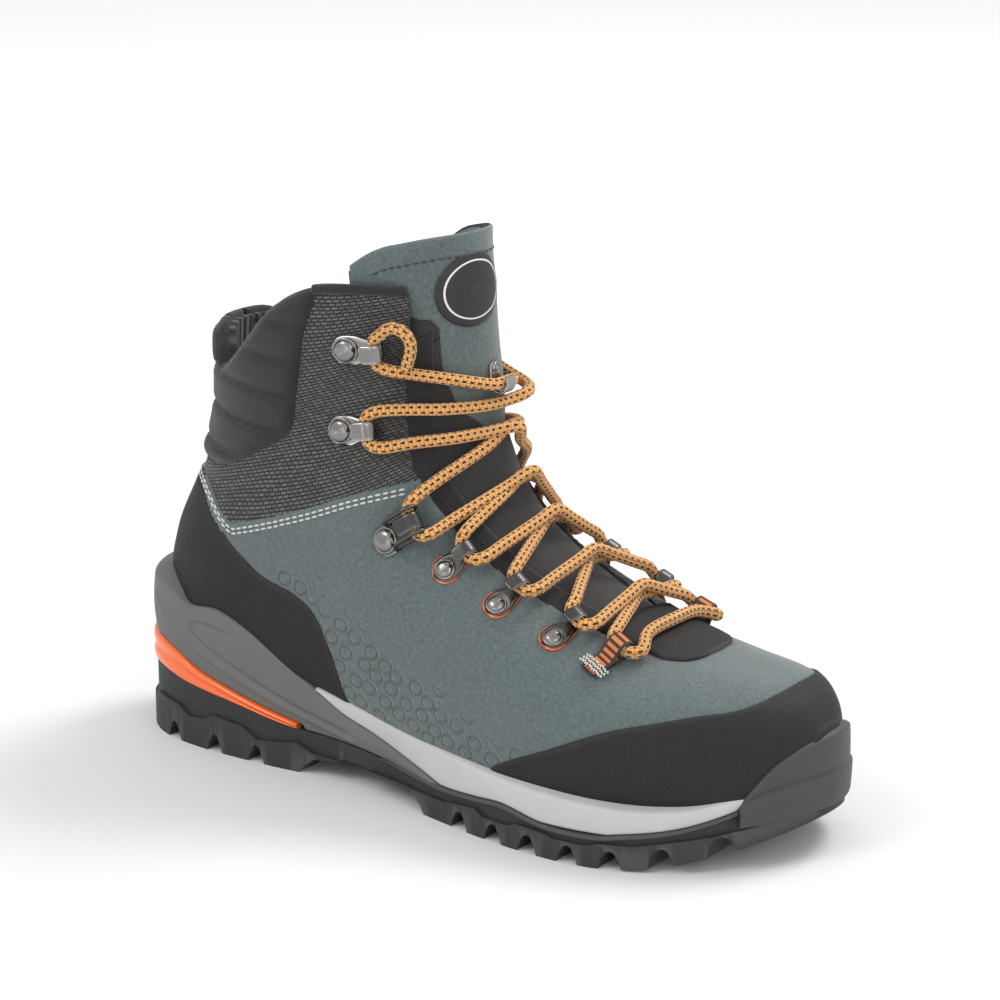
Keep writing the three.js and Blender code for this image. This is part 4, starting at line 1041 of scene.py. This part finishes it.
def strip(m, line, half, thickness, dish=None):
    """A bent strip: its middle line in x and z, its half width at each point, a hollow if dished."""
    line = resampled(line, 0.55)
    n, columns = len(line), 13
    d = unit(np.gradient(line, axis=0))
    normal = np.stack([-d[:, 1], d[:, 0]], -1)[:, None, :]
    s = arc_lengths(line)
    across = np.linspace(-1, 1, columns)
    soft = np.sqrt(np.clip(1 - np.abs(across) ** 8, 0.0, 1))
    y = half(s, line)[:, None] * across[None, :]
    loops = []
    for sign in (1, -1):
        rise = sign * thickness / 2 * soft[None, :, None] * normal
        if dish is not None:
            rise = rise + dish(line[:, 0][:, None], y)[..., None] * normal
        xz = line[:, None, :] + rise
        loops.append(np.stack([xz[..., 0], y, xz[..., 1]], -1).reshape(-1, 3))
    faces = grid_faces(n, columns)
    count = n * columns
    rim = ([(i, i + 1) for i in range(columns - 1)]
           + [((i + 1) * columns - 1, (i + 2) * columns - 1) for i in range(n - 1)]
           + [(count - 1 - i, count - 2 - i) for i in range(columns - 1)]
           + [((n - 1 - i) * columns, (n - 2 - i) * columns) for i in range(n - 1)])
    sides = [[b, a, a + count, b + count] for a, b in rim]
    uv = np.stack([np.repeat(s, columns), y.ravel()], -1)
    return (moved(m, np.vstack(loops)), faces[:, ::-1].tolist() + (faces + count).tolist() + sides,
            np.vstack([uv, uv]))


def lathe(m, profile, sides=28):
    profile = np.asarray(profile, float)
    a = circle(sides)
    radius, height = profile[:, :1], np.repeat(profile[:, 1:], sides, 1)
    p = np.stack([radius * np.cos(a), radius * np.sin(a), height], -1)
    return moved(m, p.reshape(-1, 3)), grid_faces(len(profile), sides, wrap=True).tolist(), None


def rounded(x, tail, width):
    """Half width of a plate whose tail is a half round."""
    f = np.clip((0.5 - x) / (tail + 0.5), 0, 1)
    return width / 2 * np.sqrt(np.clip(1 - f ** 2.4, 0.03, 1))


def hook_line(size, lip=None):
    outer = CHANNEL + PLATE
    back_to = size["lip"] if lip is None else lip
    return np.vstack([[[-size["tail"], PLATE / 2]], arc(size["reach"], outer, outer - PLATE / 2, -90, 90),
                      [[size["reach"] - back_to, 2 * outer - PLATE / 2]]])


def plate_half(size, waist=1.0):
    """Half width of a hook's plate: round tail, then a smooth taper to the bend and a soft end."""
    def half(s, line):
        x = line[:, 0]
        w = rounded(x, size["tail"], size["width"])
        taper = np.clip((x - size["reach"] * 0.25) / (size["reach"] * 0.65), 0, 1)
        taper = np.where(s > size["tail"] + size["reach"], 1, taper)
        w = w + (size["tip"] / 2 * waist - w) * taper * taper * (3 - 2 * taper)
        return w * (0.72 + 0.28 * np.sqrt(np.clip((s[-1] - s) / 1.2, 0, 1)))
    return half


def dimple(radius, depth):
    """A round hollow about the rivet."""
    return lambda x, y: -depth * 0.5 * (1 - np.tanh((np.sqrt(x ** 2 + y ** 2) - radius) / 0.5))


def dome(size, ring=1.25):
    """Profile of a rivet's head in its ring."""
    head, height = size["head"], size["dome"]
    return [[head * ring, 0], [head * ring, 0.35], [head * ring - 0.35, 0.6], [head * 1.02, 0.45],
            [head, 0.2], [head * 0.97, height * 0.4], [head * 0.84, height * 0.72],
            [head * 0.6, height * 0.92], [head * 0.3, height * 0.99], [0.01, height]]


def webbing_loop(name, label, m):
    """A doubled strap round the lace, held by three bar tacks."""
    strap, reach, tail = LOOP["strap"], LOOP["reach"], LOOP["tail"]
    r = CHANNEL + strap / 2
    line = np.vstack([[[-tail, strap / 2]], arc(reach, CHANNEL + strap, r, -90, 150),
                      [[reach - r * 1.75, strap * 2.2], [reach - r * 2.1, strap * 1.6],
                       [-tail + 1.5, strap * 1.6]]])
    part = strip(m, line, lambda s, q: np.full(len(s), LOOP["width"] / 2), strap)
    loop = add_object(f"{name}_{label}_strap", part, WEBBING)
    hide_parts(f"{name}_{label}")
    rows = []
    for x in (-tail + 1.4, -tail + 3.0, -tail + 4.6):
        zig = [[x + (0.55 if k % 2 else -0.55), -6.0 + k * 0.62, 2.25 - 0.05 * abs(k - 10)]
               for k in range(20)]
        rows.append([lifted(q, 1.9) for q in moved(m, zig)])
    stitches(f"bar_tack_{label}", rows, WHITE_THREAD, 1.5, 0.25, 0.34)


def lock_plate(m, size):
    """The locking hook's plate with a rail along each side."""
    parts = [strip(m, hook_line(size, 5), plate_half(size, 0.8), PLATE, dimple(4.4, 0.25))]
    wall, reach = CHANNEL + PLATE, size["reach"]
    for sign in (-1, 1):
        rail = np.vstack([[[3.5, 1.4]], arc(reach + 0.4, wall + 0.2, wall - 0.3, -88, 95),
                          [[reach - 6, 2 * wall - 0.4], [reach - 9.5, wall * 1.15], [3.0, 1.8]]])
        rail = resampled(rail, 0.7)
        y = sign * np.interp(rail[:, 0], [3, reach], [5.0, 4.9])
        parts.append(tube(moved(m, np.stack([rail[:, 0], y, rail[:, 1]], -1)), 0.85, 10))
    return joined(parts)


def eyelet_washer(m, size):
    """The coloured edge that shows all round an eyelet's plate."""
    tail, reach, width = size["tail"] + 0.45, size["reach"], size["width"] + 1.0

    def half(s, line):
        return rounded(line[:, 0], tail, width) * np.interp(line[:, 0], [1.5, reach], [1, 0.5])
    return strip(m, [[-tail, 0.0], [reach - 1.0, 0.0]], half, 0.7)


for row in LACING:
    name, size = row[0], row[4]
    for label, outer, _ in SIDES:
        m = row_seat(row, outer)
        if size is LOOP:
            webbing_loop(name, label, m)
            continue
        head_height, ring, metal = SEAT + PLATE, 1.16, METAL
        if size is LOCK:
            part = lock_plate(m, size)
        elif size is EYELET:
            head_height, ring = SEAT + PLATE - 0.25, 1.14
            part = strip(m, hook_line(size), plate_half(size, 0.92), PLATE * 1.25, dimple(4.1, 0.5))
        else:
            metal = SILVER
            part = strip(m, hook_line(size), plate_half(size), PLATE, dimple(4.9, 0.3))
        plate = add_object(f"{name}_{label}_plate", part, metal)
        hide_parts(f"{name}_{label}")
        if size is EYELET:
            add_object(f"{name}_{label}_washer", eyelet_washer(m, size), ORANGE)
        part = lathe(row_seat(row, outer, head_height), dome(size, ring))
        rivet = add_object(f"{name}_{label}_rivet", part, SILVER)
        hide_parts(f"{name}_rivet_{label}")

part = strip(tongue_seat(), hook_line(TONGUE_HOOK), plate_half(TONGUE_HOOK), PLATE)
hook = add_object("tongue_hook_plate", part, SILVER)
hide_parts("tongue_hook")
head = add_object("tongue_hook_head", lathe(tongue_seat(0.15 + PLATE), dome(TONGUE_HOOK)), SILVER)
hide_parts("tongue_hook_rivet")

# ---- stitching -----------------------------------------------------------------------------------
for label, outer, sign in SIDES:
    lines = []
    for drop in (1.6, 3.4):
        line = ANKLE_SEAM[(ANKLE_SEAM[:, 0] > -134) & (ANKLE_SEAM[:, 0] < 8)] - [0, drop]
        tp = side_line(resampled(line, 5), outer)
        tp = tp[from_middle(tp) > along(THROAT, tp[:, 0]) + 0.012]
        lines.append(on_skin(catmull(tp, np.linspace(0, len(tp) - 1, 160)), 0.68))
    stitches(f"ankle_seam_stitches_{label}", lines, WHITE_THREAD, 2.5, 0.8, 0.42)
    lines = []
    for low, high, count, beside, lift in ((4.8, 8.55, 120, -0.010, -0.45), (8.9, 13.4, 140, 0.010, 0.05)):
        t = np.linspace(low, high, count)
        lines.append(on_skin(np.stack([t, 0.5 + sign * (along(THROAT, t) + beside)], -1), lift))
    stitches(f"throat_stitches_{label}", lines, DARK_THREAD, 1.9, 0.9, 0.28)

path = []
for phi in np.linspace(0.345, 0.655, 130):
    t = np.linspace(16, 12, 400)
    q = surface(t, np.full(400, phi))
    path.append([t[(q[:, 2] < along(TONGUE_TOP, q[:, 0]) - 8.5).argmax()], phi])
path = np.array(path)
lift = -0.9 + tongue_shape(surface(path[:, 0], path[:, 1]), path, 1.0) + 0.1
stitches("tongue_edge_stitches", [on_skin(path, lift)], DARK_THREAD, 2.4, 0.8, 0.34, "tongue_top")

# ---- sole: heights in the side view, and the outline from above ----------------------------------
TREAD_TOP = [[-154, 30], [-129, 27.6], [-114, 25], [-90, 22], [-62, 17.5], [-38, 16.2], [-20, 15], [-3, 13],
             [18, 11.5], [34, 12.5], [49, 13.5], [67, 10.5], [87, 10], [98, 11.5], [111, 13.5], [122, 16.5],
             [134, 22], [139, 29]]
CUP_BOTTOM = [[-154, 42], [-131, 39], [-119, 36], [-108, 31.5], [-94, 27.7], [-80, 24], [-60, 19.6],
              [-52, 17.6]]
CUP_TOP = [[-154, 66], [-140, 64], [-123, 61], [-113, 57], [-98, 58], [-83, 53], [-71, 47], [-61, 41],
           [-50, 35], [-36, 27.7], [-20, 23.5], [-4, 19.1], [8, 16], [20, 12.3]]
MIDSOLE_TOP = [[-48, 36], [-30, 33], [-4, 29], [24, 27], [43, 25.5], [71, 24], [91, 23], [107, 22.8],
               [122, 24.5], [139, 30]]
BUMPER_TOP = [[131, 21], [134, 28.5], [138, 35.5], [142, 41], [147, 45], [154, 47]]
SOLE_OUTLINE = np.array([
    [-150, 0], [-143, -22], [-128, -34], [-105, -39], [-75, -39.5], [-45, -38], [-15, -41], [15, -48],
    [45, -54], [75, -55.5], [100, -50], [122, -37], [138, -20], [147, -3], [150, 10], [147, 24], [138, 36],
    [120, 45], [95, 50], [65, 50], [40, 46], [15, 39], [-15, 33], [-45, 32], [-75, 34], [-105, 37],
    [-128, 33], [-143, 22]])
STRIP_HEIGHT = 1.9


def outline_at(steps):
    """Points round the sole's outline and the normals into it."""
    wrapped = np.vstack([SOLE_OUTLINE[-2:], SOLE_OUTLINE, SOLE_OUTLINE[:3]])
    ring = catmull(wrapped, 2 + np.arange(len(SOLE_OUTLINE) * steps) / steps)
    d = unit(np.roll(ring, -1, 0) - np.roll(ring, 1, 0))
    return ring, np.stack([-d[:, 1], d[:, 0]], -1)


RING, RING_IN = outline_at(26)


def height_of(points):
    line = smooth(points, 5)
    return lambda x: along(line, x)


tread_top, cup_bottom, bumper_top = height_of(TREAD_TOP), height_of(CUP_BOTTOM), height_of(BUMPER_TOP)
cup_top, midsole_top = height_of(CUP_TOP), height_of(MIDSOLE_TOP)


def band(name, low, high, inset, material, x0, x1, edge, bulge=0.0, carve=None, lip=9, rows=16):
    """A sole layer's wall all round the outline between two side-view heights, with lips inwards."""
    x = RING[:, 0]
    z0, z1 = low(x), high(x)
    live = (x > x0) & (x < x1) & (z1 - z0 > 0.25)
    tall = np.where(live, z1 - z0, 0)
    v = np.linspace(0, 1, rows)
    z = z0[:, None] + tall[:, None] * v
    r = np.minimum(edge, tall / 2 + 1e-6)[:, None]
    d = np.clip(np.minimum(v, 1 - v)[None, :] * tall[:, None] / r, 0, 1)
    inward_by = inset + r * (1 - np.sqrt(1 - (1 - d) ** 2)) - bulge * np.sin(v * math.pi)[None, :]
    if carve is not None:
        inward_by = inward_by + carve(np.repeat(x[:, None], rows, 1), z)
    lip_xy = RING + RING_IN * (inset + lip)
    columns = [np.stack([*lip_xy.T, z0], -1)]
    for k in range(rows):
        columns.append(np.stack([*(RING + RING_IN * inward_by[:, k:k + 1]).T, z[:, k]], -1))
    p = np.stack([*columns, np.stack([*lip_xy.T, z1 + 0.4], -1)], 1)
    n, c = p.shape[:2]
    faces = []
    for i in range(n):
        j = (i + 1) % n
        if live[i] and live[j]:
            faces += [[i * c + k, i * c + k + 1, j * c + k + 1, j * c + k] for k in range(c - 1)]
        elif live[i]:
            faces.append([i * c + k for k in range(c)][::-1])
        elif live[j]:
            faces.append([j * c + k for k in range(c)])
    uv = np.stack([np.repeat(arc_lengths(RING), c), p[..., 2].ravel()], -1)
    return add_object(name, used_only(p.reshape(-1, 3), faces, uv), material)


LOOP_GROOVE = smooth([[-92, 49.5], [-106, 51], [-111, 48.5], [-107, 44.5], [-92, 38], [-72, 30.5], [-52, 24],
                      [-34, 20.5]])
LOWER_RIDGE = smooth([[-135, 57], [-126, 49], [-112, 42], [-92, 34.5], [-70, 27], [-48, 21], [-30, 17.8]])
STEP_LINE = smooth([[120, 16], [126, 20], [133, 25.5], [141, 30], [154, 32]])


def groove(x, z, line, depth, width):
    """Depth of a soft groove along a side-view line; a ridge if negative."""
    away = line_distance(np.stack([x, z], -1).reshape(-1, 2), line).reshape(x.shape)
    return depth * np.exp(-(away / width) ** 2)


def insert_carve(x, z):
    f = (z - tread_top(x)) / np.maximum(cup_bottom(x) - tread_top(x), 0.5)
    return 1.3 * np.exp(-((f - 0.52) / 0.13) ** 2)


def cup_carve(x, z):
    return groove(x, z, LOOP_GROOVE, 1.0, 0.75) + groove(x, z, LOWER_RIDGE, -0.7, 0.9)


def bumper_carve(x, z):
    return groove(x, z, STEP_LINE, 0.9, 0.8) - 0.9 * np.clip((along(STEP_LINE, x) - z) / 1.5, 0, 1)


heel_insert = band("heel_insert_wall", lambda x: tread_top(x) + 0.1, lambda x: cup_bottom(x) + 0.2, 0.6,
                   ORANGE, -151, -57, 1.2, 0.5, insert_carve, rows=22)
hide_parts("heel_insert")
cup = band("heel_cup_wall", lambda x: np.where(x < -55, cup_bottom(x) + 0.1, tread_top(x) + 0.1), cup_top, 1.6,
           CUP, -151, 19, 1.2, 0.9, cup_carve, rows=44)
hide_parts("heel_cup")
band("midsole_strip", lambda x: tread_top(x) + 0.2,
     lambda x: tread_top(x) + STRIP_HEIGHT * np.clip((x + 24) / 30, 0, 1), 0.3,
     STRIP, -22, 138, 0.5, rows=8)
midsole = band("midsole_wall", lambda x: np.maximum(cup_top(x), tread_top(x) + STRIP_HEIGHT * 0.9) + 0.1,
               midsole_top, 1.0, PALE, -48.5, 138.5, 1.3, 0.5, rows=18)
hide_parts("midsole")
band("toe_bumper", lambda x: np.interp(x, [110, 122, 154], [13.5, 15.5, 18.5]), bumper_top, -0.9,
     BUMPER, 131.5, 155, 1.8, 0.5, bumper_carve, lip=8, rows=30)

# ---- outsole: the tread's side view carried across, cut to the outline, its upper wall stepped in -
HEEL_GROOVES, FORE_GROOVES = (-121, -98, -77), (28, 45, 61, 78, 94, 111, 128)
HEEL_GROOVE = [(-4.0, 0), (-3.0, 3), (-1.4, 6.6), (0, 7.2), (1.4, 6.6), (3.0, 3), (4.0, 0)]
FORE_GROOVE = [(-3.2, 3.4), (-1.7, 6.2), (0, 7.0), (1.7, 6.2), (3.2, 3.4)]
SHANK = [(-57, 0), (-54, 3.2), (-50, 6.5), (-40, 7.6), (-36, 9.2), (-24, 9.2), (-20, 7.8), (-6, 8.2),
         (-2, 6.7), (4, 6.5), (7, 3), (9, 0)]
STEP_PROFILE = [
    (-160, 13), (-140, 13), (-133, 16), (-118, 15), (-112, 11.5), (-104, 12.5), (-98, 15), (-84, 13.5),
    (-76, 9.5), (-66, 10.5), (-58, 12), (-50, 8.8), (20, 8.2), (24, 9.3), (36, 10.5), (40, 8.4), (52, 8.4),
    (56, 10.0), (68, 9.4), (72, 8.2), (86, 8.2), (90, 9.6), (102, 9.8), (106, 10.6), (120, 13), (126, 14),
    (138, 17), (160, 20), (160, 70), (-160, 70)]
CENTRE_CHANNEL = [(-118, -2), (132, -2), (132, 5), (-118, 5)]


def ground(x):
    """Height of the tread over the floor: it springs up at the toe and at the heel."""
    return max(0, x - 85) ** 2 / 270 + max(0, -132 - x) ** 2 / 60


def tread_profile():
    low = [(x, ground(x)) for x in (-153, -148, -143, -138, -132)]
    for g in HEEL_GROOVES:
        low += [(g + x, ground(g) + z) for x, z in HEEL_GROOVE]
    low += SHANK
    for g in FORE_GROOVES:
        low += [(g - 4.3, ground(g - 4.3)), *((g + x, ground(g) + z) for x, z in FORE_GROOVE),
                (g + 4.3, ground(g + 4.3))]
    low += [(x, ground(x)) for x in (137, 142, 147, 153)]
    xs = np.linspace(153, -153, 160)
    return np.vstack([low, np.stack([xs, np.where(xs > 133, 21.0, tread_top(xs) + 0.1)], -1)])


def prism(name, polygon, axis, low, high):
    """A closed outline carried from low to high along an axis (1: across the boot, 2: upwards)."""
    polygon = np.asarray(polygon, float)
    n = len(polygon)
    faces = [list(range(n))[::-1], list(range(n, 2 * n))]
    faces += [[i, (i + 1) % n, n + (i + 1) % n, n + i] for i in range(n)]
    points = np.vstack([np.insert(polygon, axis, v, 1) for v in (low, high)])
    mesh = bpy.data.meshes.new(name)
    mesh.from_pydata(metres(points).tolist(), [], faces)
    bm = bmesh.new()
    bm.from_mesh(mesh)
    bmesh.ops.recalc_face_normals(bm, faces=bm.faces)
    bm.to_mesh(mesh)
    bm.free()
    o = bpy.data.objects.new(name, mesh)
    scene.collection.objects.link(o)
    return o


def modify(target, kind, **settings):
    """Adds a modifier with these settings and applies it."""
    m = target.modifiers.new(kind, kind)
    for key, value in settings.items():
        setattr(m, key, value)
    bpy.context.view_layer.objects.active = target
    bpy.ops.object.modifier_apply(modifier=m.name)


def cut(target, cutter, how="DIFFERENCE"):
    modify(target, "BOOLEAN", operation=how, solver="EXACT", object=cutter)
    bpy.data.objects.remove(cutter)


outsole = prism("outsole_block", tread_profile(), 1, -70, 70)
cut(outsole, prism("cut_outline", RING[::2] + RING_IN[::2] * 0.05, 2, -3, 60), "INTERSECT")
step = prism("cut_step", STEP_PROFILE, 1, -75, 75)
cut(step, prism("cut_core", RING[::2] + RING_IN[::2] * 1.5, 2, -6, 90))
cut(outsole, step)
cut(outsole, prism("cut_channel", CENTRE_CHANNEL, 1, -3, 3))
modify(outsole, "BEVEL", width=0.0007, segments=2, limit_method="ANGLE", angle_limit=math.radians(38))
outsole.data.materials.append(OUTSOLE)
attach(outsole, "root")
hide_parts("outsole")

# ---- footbed and the parts hidden in the sole ----------------------------------------------------
source = NODES["footbed"]
mesh = source.data.copy()
mesh.transform(source.matrix_world)
footbed = bpy.data.objects.new("footbed_cover", mesh)
scene.collection.objects.link(footbed)
footbed.data.materials.clear()
modify(footbed, "REMESH", mode="VOXEL", voxel_size=0.0011)
modify(footbed, "SMOOTH", factor=0.6, iterations=6)
footbed.data.materials.append(FELT)
set_uv(footbed.data, [[v.co.x * 1000, v.co.y * 1000] for v in footbed.data.vertices])
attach(footbed, "footbed")
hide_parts("footbed")
for node in ("insole_board", "heel_counter", "toe_puff", "shank"):
    mesh = NODES[node].data
    mesh.materials.clear()
    mesh.materials.append(STEEL if node == "shank" else BOARD_FIBRE)

# ---- floor ---------------------------------------------------------------------------------------
s = Shader("pale_floor")
tone = s.noise(3, 2, 0.5) * 0.05
away = s.add("VectorMath", dict(operation="LENGTH"), Vector=s.place())["Value"]
pale = s.mix(away.span(0.3, 1.2), (0.74, 0.74, 0.74), (0.97, 0.97, 0.97))
s.finish(s.mix(tone, pale, (0.92, 0.92, 0.92)), 0.9, None, Specular_IOR_Level=0.0)
bpy.ops.mesh.primitive_plane_add(size=60, location=(0, 0, 0))
floor = bpy.context.object
floor.name = "floor"
floor.data.materials.append(s.material)
